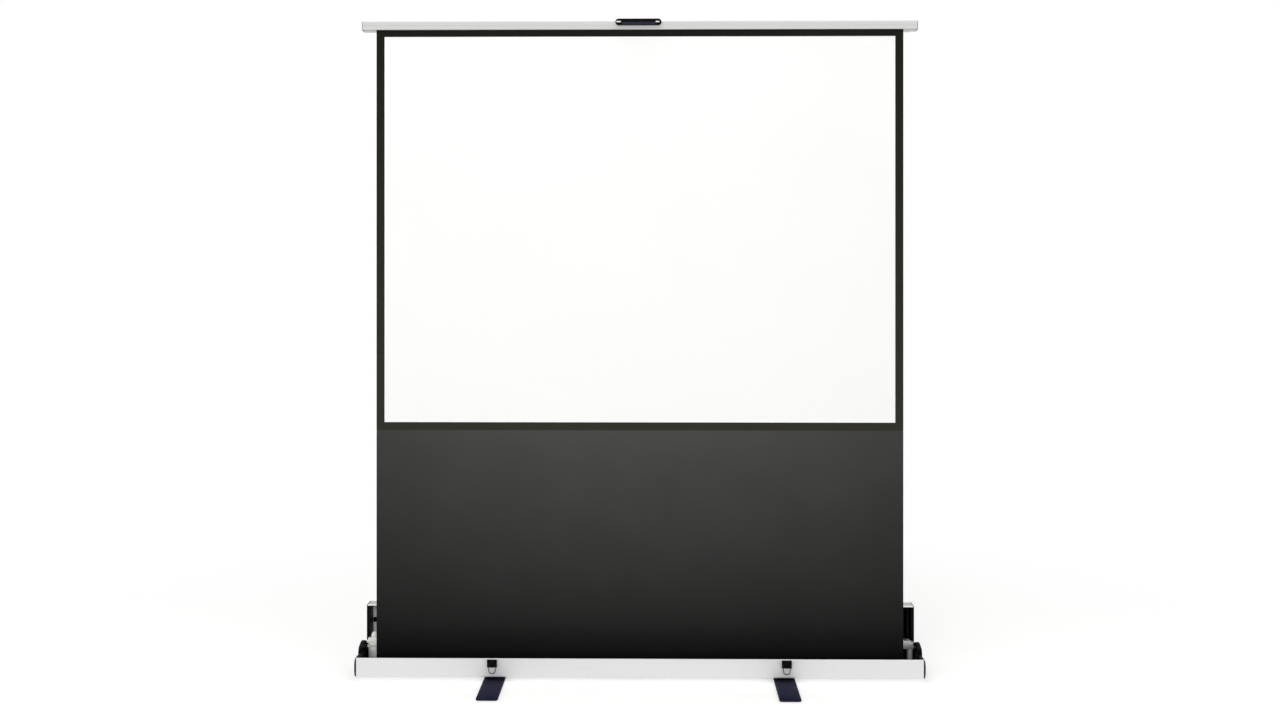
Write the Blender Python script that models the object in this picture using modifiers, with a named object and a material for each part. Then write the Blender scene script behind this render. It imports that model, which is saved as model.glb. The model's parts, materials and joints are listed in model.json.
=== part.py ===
"""Portable projection screen, standing open.

A flat case holds a spring roller. Two pairs of folding arms lift the top bar, which draws the sheet off the roller,
and the lid stands open behind the sheet. Units are metres, +Z is up, the picture faces -Y, and the origin is on the
floor under the middle of the case.
"""

import math

import bmesh
import bpy
from mathutils import Matrix, Vector

# Clearances
SEAT_GAP = 0.0003
ARM_GAP = 0.001
RIM_GAP = 0.001
OPEN_PIVOT_GAP = 0.0008
CUT_OVERRUN = 0.002
WELD = 0.00001

# Fineness of round shapes
CORNER_STEPS = 3
ARCH_STEPS = 5
SMALL_EDGE_STEPS = 1
WIRE_RESOLUTION = 1
ROUND_SIDES = 20
ROLLER_SIDES = 32
SMOOTH_ANGLE = 35.0

# Feet
FOOT_INSET = 0.433
FOOT_WIDTH = 0.067
FOOT_LENGTH = 0.530
FOOT_THICKNESS = 0.007
FOOT_CORNER = 0.009
FOOT_EDGE = 0.002
FOOT_EDGE_STEPS = 2
FOOT_BOSS_RADIUS = 0.028
FOOT_BOSS_HEIGHT = 0.0052
PAD_THICKNESS = 0.0012
PAD_WIDTH = 0.055
PAD_LENGTH = 0.060
PAD_CORNER = 0.008
PAD_INSET = 0.012
FOOT_BOLT_RADIUS = 0.004
FOOT_BOLT_HEAD = 0.008
FOOT_BOLT_HEAD_HEIGHT = 0.0015
FOOT_BOLT_LOWER_HEAD = 0.007
FOOT_BOLT_LOWER_HEIGHT = 0.002
FOOT_BOLT_RECESS = 0.0005

# Case: base tray and lid tray
CASE_MARGIN = 0.057
CASE_DEPTH = 0.132
TRAY_HEIGHT = 0.060
CASE_WALL = 0.002
CASE_LIP = 0.006
CASE_CORNER = 0.006
CASE_RIM_CORNER = 0.001
CAP_THICKNESS = 0.008
CAP_EDGE = 0.005
CAP_EDGE_STEPS = 3
LID_INSET = 0.004
LID_END_THICKNESS = 0.010
LID_END_EDGE = 0.0015
LID_PAD_THICKNESS = 0.003
LID_PAD_LENGTH = 0.070
LID_BAND_HEIGHT = 0.016
LID_BAND_RISE = 0.062
LID_BLOCK_HEIGHT = 0.112
LID_BLOCK_RISE = 0.006

# Ears of the end caps beside the hinge
EAR_GAP = 0.0008
EAR_FRONT = 0.059
EAR_SHOULDER = 0.080
EAR_SHOULDER_RISE = 0.016
EAR_TOP_FRONT = 0.102
EAR_TOP_BACK = 0.120
EAR_RISE = 0.025
EAR_BACK_RISE = 0.013
EAR_BACK_REACH = 0.0155
EAR_ROUND = 0.012
EAR_FOOT_ROUND = 0.004

# Long hinge on the rear edge
HINGE_OFFSET = 0.0035
HINGE_RADIUS = 0.0030
HINGE_PIN_RADIUS = 0.0012
HINGE_LEAF = 0.0012
HINGE_LEAF_WIDTH = 0.020
HINGE_INSET = 0.040
HINGE_KNUCKLES = 5
HINGE_SIDES = 12

# Roller
ROLLER_FROM_FRONT = 0.0435
ROLLER_HEIGHT = 0.030
ROLLER_RADIUS = 0.014
ROLLER_WALL = 0.0012
ROLLER_INSET = 0.040
SLEEVE_THICKNESS = 0.0010
PLUG_LENGTH = 0.012
PLUG_FLANGE = 0.003
AXLE_RADIUS = 0.004
AXLE_CLEARANCE = 0.0004
ARBOR_LENGTH = 0.300
SPRING_WIRE = 0.0009
SPRING_TURNS = 14
SPRING_PITCH = 0.012
SPRING_INSET = 0.030
SPRING_POINTS = 10
BRACKET_THICKNESS = 0.003
BRACKET_INSET = 0.012
BRACKET_WIDTH = 0.034
BRACKET_RISE = 0.010
BRACKET_CORNER = 0.006

# Sheet
PICTURE_WIDTH = 1.620
PICTURE_HEIGHT = 1.220
BORDER_SIDE = 0.023
BORDER_TOP = 0.018
BORDER_BOTTOM = 0.025
SHEET_THICKNESS = 0.0006
SHEET_FROM_FRONT = 0.0280

# Top bar
BAR_INSET = 0.015
BAR_DEPTH = 0.040
BAR_HEIGHT = 0.030
BAR_WALL = 0.0016
BAR_CORNER = 0.004
BAR_FROM_FRONT = 0.018
BAR_BOTTOM_HEIGHT = 2.053
BAR_CAP_THICKNESS = 0.003
BAR_CAP_EDGE = 0.0012
BAR_PIVOT_RISE = 0.022
HANDLE_WIDTH = 0.140
HANDLE_HEIGHT = 0.021
HANDLE_THICKNESS = 0.012
HANDLE_RISE = 0.006
HANDLE_EDGE = 0.004
HANDLE_EDGE_STEPS = 2
BAR_BRACKET_WIDTH = 0.060
BAR_BRACKET_CORNER = 0.005
BAR_BRACKET_INSET = 0.002

# Folding arms
PIVOT_INSET = 0.055
PIVOT_HEIGHT = 0.102
ARM_OPEN_ANGLE = 63.045
ARM_THICKNESS = 0.009
ARM_END_RADIUS = 0.011
ARM_FRONT = 0.062
PIN_RADIUS = 0.004
PIN_CLEARANCE = 0.0003

# Pedestals that carry the arms
PEDESTAL_DEPTH = 0.024
PEDESTAL_ROUND = 0.002
STEM_INNER = 0.012
STEM_OUTER = 0.037
COLLAR_OUTER = 0.0385
COLLAR_DROP = 0.023
FLANGE_INNER = 0.0135
FLANGE_OUTER = 0.040
FLANGE_DROP = 0.007
FLANGE_HEIGHT = 0.014
PLATE_HEIGHT = 0.0085
KNOB_INNER = 0.008
KNOB_OUTER = 0.027
KNOB_HEIGHT = 0.0105
KNOB_ROUND = 0.005
LEG_INNER = 0.020
LEG_OUTER = 0.038
BLOCK_OUTER = 0.040
BLOCK_DROP = 0.023
BLOCK_CUT_INNER = 0.008
BLOCK_CUT_OUTER = 0.018
BLOCK_TOP_OUTER = 0.032
BLOCK_TOP_DROP = 0.012

# Latches on the front
LATCH_INSET = 0.427
LATCH_WIDTH = 0.0304
LATCH_TOP_DROP = 0.003
LATCH_HEIGHT = 0.0237
LATCH_PLATE = 0.0020
LATCH_CHEEK = 0.0025
LATCH_CHEEK_DEPTH = 0.0062
LEVER_WIDTH = 0.0172
LEVER_THICKNESS = 0.0060
LEVER_NOSE = 0.0015
TRUNNION_RADIUS = 0.0015
BAIL_DROP = 0.0075
BAIL_WIRE = 0.0012
BAIL_WIDTH = 0.0212
BAIL_LENGTH = 0.0335
BAIL_STEPS = 6
BAIL_CORNER = 0.0030

# Catches and carrying handle on the lid
CATCH_WIDTH = 0.020
CATCH_PLATE = 0.0015
CATCH_LENGTH = 0.018
CATCH_RISE = 0.0075
CATCH_HOOK = 0.006
CATCH_INSET = 0.004
GRIP_WIDTH = 0.150
GRIP_REACH = 0.030
GRIP_RADIUS = 0.0040
GRIP_CORNER = 0.010
GRIP_INSET = 0.014
GRIP_HEIGHT = 0.0085
GRIP_STEPS = 4
GRIP_PLATE = 0.0015
GRIP_LUG = 0.006
GRIP_LUG_DEPTH = 0.014

# Heights and depths that follow
FOOT_BOTTOM = PAD_THICKNESS + SEAT_GAP
FOOT_TOP = FOOT_BOTTOM + FOOT_THICKNESS
CASE_BOTTOM = FOOT_TOP + FOOT_BOSS_HEIGHT + SEAT_GAP
TRAY_FLOOR = CASE_BOTTOM + CASE_WALL
TRAY_TOP = CASE_BOTTOM + TRAY_HEIGHT
SHEET_WIDTH = PICTURE_WIDTH + 2 * BORDER_SIDE
CASE_LENGTH = SHEET_WIDTH + 2 * CASE_MARGIN
LID_LENGTH = CASE_LENGTH - 2 * LID_INSET
CASE_FRONT = -CASE_DEPTH / 2
CASE_REAR = CASE_DEPTH / 2
CAP_INNER = CASE_LENGTH / 2 + SEAT_GAP
CAP_OUTER = CASE_LENGTH / 2 + CAP_THICKNESS
EAR_INNER = LID_LENGTH / 2 + EAR_GAP
HINGE_Y = CASE_REAR + HINGE_OFFSET
HINGE_Z = TRAY_TOP
LID_FRONT = HINGE_Y + RIM_GAP / 2
LID_BACK = LID_FRONT + TRAY_HEIGHT
LID_BOTTOM = HINGE_Z + HINGE_OFFSET
LID_TOP = LID_BOTTOM + CASE_DEPTH
LID_INNER_BACK = LID_BACK - CASE_WALL
LID_SHELL_HALF = LID_LENGTH / 2 - LID_END_THICKNESS - SEAT_GAP
ROLLER_Y = CASE_FRONT + ROLLER_FROM_FRONT
ROLLER_Z = CASE_BOTTOM + ROLLER_HEIGHT
SPRING_RADIUS = (AXLE_RADIUS + SEAT_GAP + SPRING_WIRE) / math.cos(math.pi / SPRING_POINTS)
SHEET_FRONT = CASE_FRONT + SHEET_FROM_FRONT - SHEET_THICKNESS
SHEET_BACK = CASE_FRONT + SHEET_FROM_FRONT
SHEET_TOP = BAR_BOTTOM_HEIGHT - SEAT_GAP
PICTURE_TOP = SHEET_TOP - BORDER_TOP
PICTURE_BOTTOM = PICTURE_TOP - PICTURE_HEIGHT
BORDER_LOW = PICTURE_BOTTOM - BORDER_BOTTOM
BAR_FRONT = CASE_FRONT + BAR_FROM_FRONT
BAR_BACK = BAR_FRONT + BAR_DEPTH
BAR_TOP = BAR_BOTTOM_HEIGHT + BAR_HEIGHT
TOP_PIVOT_HEIGHT = BAR_BOTTOM_HEIGHT + BAR_PIVOT_RISE
PIVOT_OFFSET = CASE_LENGTH / 2 - PIVOT_INSET
KNEE_HEIGHT = (PIVOT_HEIGHT + TOP_PIVOT_HEIGHT) / 2
KNEE_OFFSET = PIVOT_OFFSET - (KNEE_HEIGHT - PIVOT_HEIGHT) / math.tan(math.radians(ARM_OPEN_ANGLE))
ARM_PITCH = ARM_THICKNESS + ARM_GAP
ARM_BORE = PIN_RADIUS + PIN_CLEARANCE
LATCH_TOP = TRAY_TOP - LATCH_TOP_DROP
LATCH_BOTTOM = LATCH_TOP - LATCH_HEIGHT
LATCH_BACK = CASE_FRONT - SEAT_GAP
CHEEK_BACK = LATCH_BACK - LATCH_PLATE
CHEEK_FRONT = CHEEK_BACK - LATCH_CHEEK_DEPTH
TRUNNION_Y = CHEEK_BACK - SEAT_GAP - LEVER_THICKNESS / 2
TRUNNION_Z = LATCH_TOP - SEAT_GAP - LEVER_THICKNESS / 2
BAIL_Z = TRUNNION_Z - BAIL_DROP
GRIP_Y = LID_FRONT + GRIP_INSET
GRIP_Z = LID_TOP + GRIP_HEIGHT

SIDES = {"left": -1, "right": 1}

# Each pair of arms has two layers, counted from the front: the upper arm's layer and the lower arm's.
ARM_LAYERS = {"left": (0, 1), "right": (2, 3)}

# Directions of an outline's first and second coordinate and of its thickness, for each axis it is extruded along
OUTLINE_AXES = {
    "X": ((0, 1, 0), (0, 0, 1), (1, 0, 0)),
    "Y": ((1, 0, 0), (0, 0, 1), (0, -1, 0)),
    "Z": ((1, 0, 0), (0, 1, 0), (0, 0, 1)),
}


def clear_scene():
    """Remove every object that is in the scene."""
    for item in list(bpy.data.objects):
        bpy.data.objects.remove(item, do_unlink=True)


def new_collection(name):
    """Collection linked to the scene."""
    collection = bpy.data.collections.new(name)
    bpy.context.scene.collection.children.link(collection)
    return collection


def finish_material(name, colour, roughness, metallic):
    """Principled surface with one colour, roughness and metallic value."""
    material = bpy.data.materials.new(name)
    material.use_nodes = True
    shader = material.node_tree.nodes["Principled BSDF"]
    shader.inputs["Base Color"].default_value = (*colour, 1)
    shader.inputs["Roughness"].default_value = roughness
    shader.inputs["Metallic"].default_value = metallic
    return material


def rounded_outline(corners, steps=CORNER_STEPS):
    """Closed outline through corners given as (u, v, radius), each rounded by an arc of its radius."""
    outline = []
    for index, (u, v, radius) in enumerate(corners):
        corner = Vector((u, v))
        if radius == 0:
            outline.append(corner)
            continue
        before = (Vector(corners[index - 1][:2]) - corner).normalized()
        after = (Vector(corners[(index + 1) % len(corners)][:2]) - corner).normalized()
        half = before.angle(after) / 2
        centre = corner + (before + after).normalized() * (radius / math.sin(half))
        start = corner + before * (radius / math.tan(half)) - centre
        end = corner + after * (radius / math.tan(half)) - centre
        first = math.atan2(start.y, start.x)
        sweep = math.remainder(math.atan2(end.y, end.x) - first, 2 * math.pi)
        for step in range(steps + 1):
            angle = first + sweep * step / steps
            outline.append(centre + radius * Vector((math.cos(angle), math.sin(angle))))
    return outline


def circle_outline(u, v, radius, sides=ROUND_SIDES):
    """Closed round outline."""
    angles = [2 * math.pi * index / sides for index in range(sides)]
    return [Vector((u + radius * math.cos(angle), v + radius * math.sin(angle))) for angle in angles]


def box_outline(low_u, high_u, low_v, high_v, radius=0.0):
    """Rectangle, with its corners rounded if a radius is given."""
    corners = ((low_u, low_v), (high_u, low_v), (high_u, high_v), (low_u, high_v))
    return rounded_outline([(u, v, radius) for u, v in corners])


def mesh_from_curve(guide):
    """Mesh object of a curve, its caps welded, in the curve's place."""
    bpy.context.view_layer.update()
    evaluated = guide.evaluated_get(bpy.context.evaluated_depsgraph_get())
    mesh = bpy.data.meshes.new_from_object(evaluated)
    shape = bmesh.new()
    shape.from_mesh(mesh)
    bmesh.ops.remove_doubles(shape, verts=shape.verts, dist=WELD)
    bmesh.ops.recalc_face_normals(shape, faces=shape.faces)
    shape.to_mesh(mesh)
    shape.free()
    name = guide.name
    place = guide.matrix_world.copy()
    bpy.data.objects.remove(guide, do_unlink=True)
    mesh.name = name
    piece = bpy.data.objects.new(name, mesh)
    piece.matrix_world = place
    PARTS.objects.link(piece)
    return piece


def extruded(name, outlines, low, high, axis):
    """Solid between two planes square to an axis. The first outline is its edge and the others are holes."""
    curve = bpy.data.curves.new(name, "CURVE")
    curve.dimensions = "2D"
    curve.fill_mode = "BOTH"
    curve.extrude = (high - low) / 2
    for outline in outlines:
        spline = curve.splines.new("POLY")
        spline.points.add(len(outline) - 1)
        for point, (u, v) in zip(spline.points, outline):
            point.co = (u, v, 0, 1)
        spline.use_cyclic_u = True
    guide = bpy.data.objects.new(name, curve)
    PARTS.objects.link(guide)
    first, second, along = (Vector(direction) for direction in OUTLINE_AXES[axis])
    turn = Matrix((first, second, along)).transposed().to_4x4()
    depth = Vector((abs(along.x), abs(along.y), abs(along.z))) * ((low + high) / 2)
    guide.matrix_world = Matrix.Translation(depth) @ turn
    return mesh_from_curve(guide)


def block(name, low, high):
    """Box between two opposite corners."""
    return extruded(name, [box_outline(low[0], high[0], low[1], high[1])], low[2], high[2], "Z")


def round_bar(name, centre, radius, low, high, axis, sides=ROUND_SIDES):
    """Solid cylinder along an axis. The centre gives the other two coordinates."""
    shape = bmesh.new()
    bmesh.ops.create_cone(
        shape, cap_ends=True, segments=sides, radius1=radius, radius2=radius, depth=high - low
    )
    mesh = bpy.data.meshes.new(name)
    shape.to_mesh(mesh)
    shape.free()
    first, second, along = (Vector(direction) for direction in OUTLINE_AXES[axis])
    turn = Matrix((first, second, along)).transposed().to_4x4()
    depth = Vector((abs(along.x), abs(along.y), abs(along.z))) * ((low + high) / 2)
    place = first * centre[0] + second * centre[1] + depth
    piece = bpy.data.objects.new(name, mesh)
    piece.matrix_world = Matrix.Translation(place) @ turn
    PARTS.objects.link(piece)
    return piece


def wire(name, points, radius, cyclic=False):
    """Round wire along a list of points."""
    curve = bpy.data.curves.new(name, "CURVE")
    curve.dimensions = "3D"
    curve.bevel_depth = radius
    curve.bevel_resolution = WIRE_RESOLUTION
    curve.use_fill_caps = True
    spline = curve.splines.new("POLY")
    spline.points.add(len(points) - 1)
    for point, place in zip(spline.points, points):
        point.co = (*place, 1)
    spline.use_cyclic_u = cyclic
    guide = bpy.data.objects.new(name, curve)
    PARTS.objects.link(guide)
    return mesh_from_curve(guide)


def turned(name, profile, place):
    """Solid of revolution about a vertical line, from (radius, height) points down its outer side."""
    mesh = bpy.data.meshes.new(name)
    points = [(radius, 0, height) for radius, height in profile]
    mesh.from_pydata(points, [(index, index + 1) for index in range(len(points) - 1)], [])
    piece = bpy.data.objects.new(name, mesh)
    piece.location = place
    PARTS.objects.link(piece)
    screw = piece.modifiers.new("Turn", "SCREW")
    screw.steps = ROUND_SIDES
    screw.render_steps = ROUND_SIDES
    screw.use_merge_vertices = True
    screw.merge_threshold = WELD
    return piece


def combine(piece, other, operation):
    """Cut or join another shape, which then stays as a hidden guide."""
    modifier = piece.modifiers.new(other.name, "BOOLEAN")
    modifier.operation = operation
    modifier.object = other
    PARTS.objects.unlink(other)
    CUTTERS.objects.link(other)
    other.hide_render = True
    other.display_type = "WIRE"
    return piece


def soften_rim(piece, axis, side, width, steps):
    """Round the edges of the face that lies furthest along an axis of the world, to one side."""
    bpy.context.view_layer.update()
    number = "XYZ".index(axis)
    world = piece.matrix_world
    shape = bmesh.new()
    shape.from_mesh(piece.data)
    heights = {vertex: side * (world @ vertex.co)[number] for vertex in shape.verts}
    top = max(heights.values())
    rim_verts = {vertex for vertex, height in heights.items() if top - height < WELD}
    rim = [
        edge
        for edge in shape.edges
        if set(edge.verts) <= rim_verts and any(set(face.verts) - rim_verts for face in edge.link_faces)
    ]
    bmesh.ops.bevel(shape, geom=rim, offset=width, segments=steps, profile=0.5, affect="EDGES")
    shape.to_mesh(piece.data)
    shape.free()
    return piece


def smooth(piece):
    """Shade round surfaces smooth and keep the sharp edges."""
    piece.data.shade_smooth()
    piece.data.set_sharp_from_angle(angle=math.radians(SMOOTH_ANGLE))
    return piece


def dress(piece, material, carrier=None):
    """Give a piece its material and the empty that carries it."""
    piece.data.materials.clear()
    piece.data.materials.append(material)
    smooth(piece)
    if carrier:
        piece.parent = carrier
        piece.matrix_parent_inverse = Matrix.Translation(carrier["place"]).inverted()
    return piece


def joint_axis(name, place, carrier=None):
    """Empty on a joint's axis, which carries a moving body."""
    empty = bpy.data.objects.new(name, None)
    empty["place"] = place
    empty.location = place
    PARTS.objects.link(empty)
    if carrier:
        empty.parent = carrier
        empty.matrix_parent_inverse = Matrix.Translation(carrier["place"]).inverted()
    return empty


def channel_outline(width, height, wall, lip, corner, rim_corner):
    """Section of a tray that is open at the top, as (across, up) from the middle of its floor's underside."""
    half = width / 2
    inner = half - wall
    inner_corner = corner - wall
    return rounded_outline(
        (
            (-half, height, rim_corner),
            (-half, 0, corner),
            (half, 0, corner),
            (half, height, rim_corner),
            (half - lip, height, 0),
            (half - lip, height - wall, 0),
            (inner, height - wall, 0),
            (inner, wall, inner_corner),
            (-inner, wall, inner_corner),
            (-inner, height - wall, 0),
            (lip - half, height - wall, 0),
            (lip - half, height, 0),
        )
    )


def tray_section():
    """Section that the base and the lid share."""
    return channel_outline(CASE_DEPTH, TRAY_HEIGHT, CASE_WALL, CASE_LIP, CASE_CORNER, CASE_RIM_CORNER)


def lid_outline(outline):
    """A section as it stands in the open lid: its opening faces the front."""
    middle = (LID_BOTTOM + LID_TOP) / 2
    return [Vector((LID_BACK - up, middle + across)) for across, up in outline]


def foot_places():
    """Name, side and centre of each foot."""
    return [(side, sign, sign * (CASE_LENGTH / 2 - FOOT_INSET)) for side, sign in SIDES.items()]


def make_base_tray(aluminium):
    """Open tray of the case's base."""
    outline = [Vector((across, CASE_BOTTOM + up)) for across, up in tray_section()]
    tray = extruded("base_tray", [outline], -CASE_LENGTH / 2, CASE_LENGTH / 2, "X")
    dress(tray, aluminium)


def ear_outline():
    """Arch that stands on the end cap and reaches back past the end of the hinge, as (depth, height)."""
    front = CASE_FRONT
    back = HINGE_Y + EAR_BACK_REACH
    return rounded_outline(
        (
            (front + EAR_FRONT, TRAY_TOP, 0),
            (front + EAR_FRONT, TRAY_TOP - CASE_CORNER, 0),
            (back, TRAY_TOP - CASE_CORNER, 0),
            (back, TRAY_TOP + EAR_BACK_RISE, EAR_FOOT_ROUND),
            (front + EAR_TOP_BACK, TRAY_TOP + EAR_RISE, EAR_ROUND),
            (front + EAR_TOP_FRONT, TRAY_TOP + EAR_RISE, EAR_ROUND),
            (front + EAR_SHOULDER, TRAY_TOP + EAR_SHOULDER_RISE, EAR_ROUND),
        ),
        ARCH_STEPS,
    )


def make_base_cap(side, sign, plastic):
    """End cap of the base with its ear."""
    plate = box_outline(CASE_FRONT, CASE_REAR, CASE_BOTTOM, TRAY_TOP, CASE_CORNER)
    low, high = sorted((sign * CAP_INNER, sign * CAP_OUTER))
    cap = extruded(f"base_cap_{side}", [plate], low, high, "X")
    soften_rim(cap, "X", sign, CAP_EDGE, CAP_EDGE_STEPS)
    base = [(y, max(z, TRAY_TOP - CASE_CORNER)) for y, z in ear_outline()]
    outer = CAP_OUTER - EAR_GAP
    low, high = sorted((sign * CAP_INNER, sign * outer))
    web = extruded(f"ear_web_{side}", [base], low, high, "X")
    combine(cap, web, "UNION")
    raised = [(y, max(z, TRAY_TOP + SEAT_GAP)) for y, z in ear_outline()]
    low, high = sorted((sign * EAR_INNER, sign * outer))
    ear = extruded(f"ear_head_{side}", [raised], low, high, "X")
    combine(cap, ear, "UNION")
    dress(cap, plastic)


def make_lid(aluminium, plastic, foam, hinge):
    """Lid tray, standing open behind the sheet, with its end plates and pads."""
    shell = extruded("lid_shell", [lid_outline(tray_section())], -LID_SHELL_HALF, LID_SHELL_HALF, "X")
    dress(shell, aluminium, hinge)
    plate = box_outline(LID_FRONT, LID_BACK, LID_BOTTOM, LID_TOP, CASE_CORNER)
    for side, sign in SIDES.items():
        low, high = sorted((sign * (LID_SHELL_HALF + SEAT_GAP), sign * LID_LENGTH / 2))
        end = extruded(f"lid_end_{side}", [plate], low, high, "X")
        soften_rim(end, "X", sign, LID_END_EDGE, SMALL_EDGE_STEPS)
        dress(end, plastic, hinge)
    pads = {"left": (LID_BAND_RISE, LID_BAND_HEIGHT), "right": (LID_BLOCK_RISE, LID_BLOCK_HEIGHT)}
    for side, sign in SIDES.items():
        rise, height = pads[side]
        outer = LID_SHELL_HALF - SEAT_GAP
        low_x, high_x = sorted((sign * (outer - LID_PAD_LENGTH), sign * outer))
        back = LID_INNER_BACK - SEAT_GAP
        bottom = LID_BOTTOM + rise
        pad = block(
            f"lid_pad_{side}", (low_x, back - LID_PAD_THICKNESS, bottom), (high_x, back, bottom + height)
        )
        dress(pad, foam, hinge)


def leaf_outline(down):
    """Hinge leaf with its knuckle, hanging from the barrel or, when not down, lying behind it."""
    inner = HINGE_OFFSET - SEAT_GAP
    outer = inner - HINGE_LEAF
    start = math.atan2(-math.sqrt(HINGE_RADIUS**2 - outer**2), -outer)
    angles = [start + (math.pi - start) * step / HINGE_SIDES for step in range(HINGE_SIDES + 1)]
    points = [(HINGE_RADIUS * math.cos(angle), HINGE_RADIUS * math.sin(angle)) for angle in angles]
    points += [(-inner, 0), (-inner, -HINGE_LEAF_WIDTH), (-outer, -HINGE_LEAF_WIDTH)]
    if not down:
        points = [(-v, -u) for u, v in points]
    return [Vector((HINGE_Y + u, HINGE_Z + v)) for u, v in points]


def make_hinge(aluminium, steel, hinge):
    """Long hinge: two leaves whose knuckles alternate along one pin."""
    half = CASE_LENGTH / 2 - HINGE_INSET
    knuckle = 2 * half / HINGE_KNUCKLES
    bore = circle_outline(HINGE_Y, HINGE_Z, HINGE_PIN_RADIUS + SEAT_GAP, HINGE_SIDES)
    reach = HINGE_RADIUS + SEAT_GAP
    for name, down, first, carrier in (
        ("hinge_leaf_base", True, 1, None),
        ("hinge_leaf_lid", False, 0, hinge),
    ):
        leaf = extruded(name, [leaf_outline(down), bore], -half, half, "X")
        for index in range(first, HINGE_KNUCKLES, 2):
            start = -half + index * knuckle - SEAT_GAP
            low = (start, HINGE_Y - reach, HINGE_Z - reach)
            high = (start + knuckle + 2 * SEAT_GAP, HINGE_Y + reach, HINGE_Z + reach)
            combine(leaf, block(f"{name}_slot_{index}", low, high), "DIFFERENCE")
        dress(leaf, aluminium, carrier)
    pin = round_bar("hinge_pin", (HINGE_Y, HINGE_Z), HINGE_PIN_RADIUS, -half, half, "X", HINGE_SIDES)
    dress(pin, steel)


def make_roller(aluminium, plastic, steel, cloth, spin):
    """Roller tube with its end plugs, the wound end of the sheet, and the spring on its fixed arbor."""
    half = CASE_LENGTH / 2 - ROLLER_INSET
    centre = (ROLLER_Y, ROLLER_Z)
    bore = ROLLER_RADIUS - ROLLER_WALL
    tube = extruded(
        "roller_tube",
        [circle_outline(*centre, ROLLER_RADIUS, ROLLER_SIDES), circle_outline(*centre, bore, ROLLER_SIDES)],
        -half,
        half,
        "X",
    )
    dress(tube, aluminium, spin)
    sleeve_bore = ROLLER_RADIUS + SEAT_GAP
    sleeve = extruded(
        "sheet_on_roller",
        [
            circle_outline(*centre, sleeve_bore + SLEEVE_THICKNESS, ROLLER_SIDES),
            circle_outline(*centre, sleeve_bore, ROLLER_SIDES),
        ],
        -SHEET_WIDTH / 2,
        SHEET_WIDTH / 2,
        "X",
    )
    dress(sleeve, cloth, spin)
    bracket_inner = CASE_LENGTH / 2 - BRACKET_INSET - BRACKET_THICKNESS
    bracket_outer = bracket_inner + BRACKET_THICKNESS
    plug_face = half + SEAT_GAP + PLUG_FLANGE
    for side, sign in SIDES.items():
        low, high = sorted((sign * (half - PLUG_LENGTH), sign * (plug_face - PLUG_FLANGE / 2)))
        body = round_bar(f"plug_body_{side}", centre, bore - SEAT_GAP, low, high, "X", ROLLER_SIDES)
        low, high = sorted((sign * (half + SEAT_GAP), sign * plug_face))
        plug = round_bar(f"roller_plug_{side}", centre, ROLLER_RADIUS, low, high, "X", ROLLER_SIDES)
        combine(plug, body, "UNION")
        if side == "left":
            inner, outer = half - PLUG_LENGTH - CUT_OVERRUN, plug_face + CUT_OVERRUN
            low, high = sorted((sign * inner, sign * outer))
            hole = round_bar(f"plug_hole_{side}", centre, AXLE_RADIUS + AXLE_CLEARANCE, low, high, "X")
            combine(plug, hole, "DIFFERENCE")
        else:
            low, high = sorted((sign * (plug_face - PLUG_FLANGE / 2), sign * bracket_outer))
            axle = round_bar(f"plug_axle_{side}", centre, AXLE_RADIUS, low, high, "X")
            combine(plug, axle, "UNION")
        dress(plug, plastic, spin)
    arbor = round_bar("roller_arbor", centre, AXLE_RADIUS, -bracket_outer, ARBOR_LENGTH - bracket_outer, "X")
    dress(arbor, steel)
    first = -half + PLUG_LENGTH + SPRING_INSET
    points = []
    for index in range(SPRING_TURNS * SPRING_POINTS + 1):
        turns = index / SPRING_POINTS
        angle = 2 * math.pi * turns
        y = ROLLER_Y + SPRING_RADIUS * math.cos(angle)
        z = ROLLER_Z + SPRING_RADIUS * math.sin(angle)
        points.append((first + turns * SPRING_PITCH, y, z))
    dress(wire("roller_spring", points, SPRING_WIRE), steel)
    bottom = TRAY_FLOOR + SEAT_GAP
    width = BRACKET_WIDTH / 2
    for side, sign in SIDES.items():
        outline = rounded_outline(
            (
                (ROLLER_Y - width, bottom, 0),
                (ROLLER_Y + width, bottom, 0),
                (ROLLER_Y + width, ROLLER_Z + BRACKET_RISE, BRACKET_CORNER),
                (ROLLER_Y - width, ROLLER_Z + BRACKET_RISE, BRACKET_CORNER),
            )
        )
        hole = circle_outline(*centre, AXLE_RADIUS + AXLE_CLEARANCE)
        low, high = sorted((sign * bracket_inner, sign * bracket_outer))
        dress(extruded(f"roller_bracket_{side}", [outline, hole], low, high, "X"), steel)


def make_sheet(white, black, drop_black):
    """Picture area, its black border and the black drop below it, all in one plane."""
    half = PICTURE_WIDTH / 2
    edge = SHEET_WIDTH / 2
    picture = box_outline(-half, half, PICTURE_BOTTOM, PICTURE_TOP)
    dress(extruded("picture_sheet", [picture], SHEET_FRONT, SHEET_BACK, "Y"), white)
    rim = box_outline(-edge, edge, BORDER_LOW, SHEET_TOP)
    window = box_outline(
        -half - SEAT_GAP, half + SEAT_GAP, PICTURE_BOTTOM - SEAT_GAP, PICTURE_TOP + SEAT_GAP
    )
    dress(extruded("black_border", [rim, window], SHEET_FRONT, SHEET_BACK, "Y"), black)
    drop = box_outline(-edge, edge, ROLLER_Z, BORDER_LOW - SEAT_GAP)
    dress(extruded("black_drop", [drop], SHEET_FRONT, SHEET_BACK, "Y"), drop_black)


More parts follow.
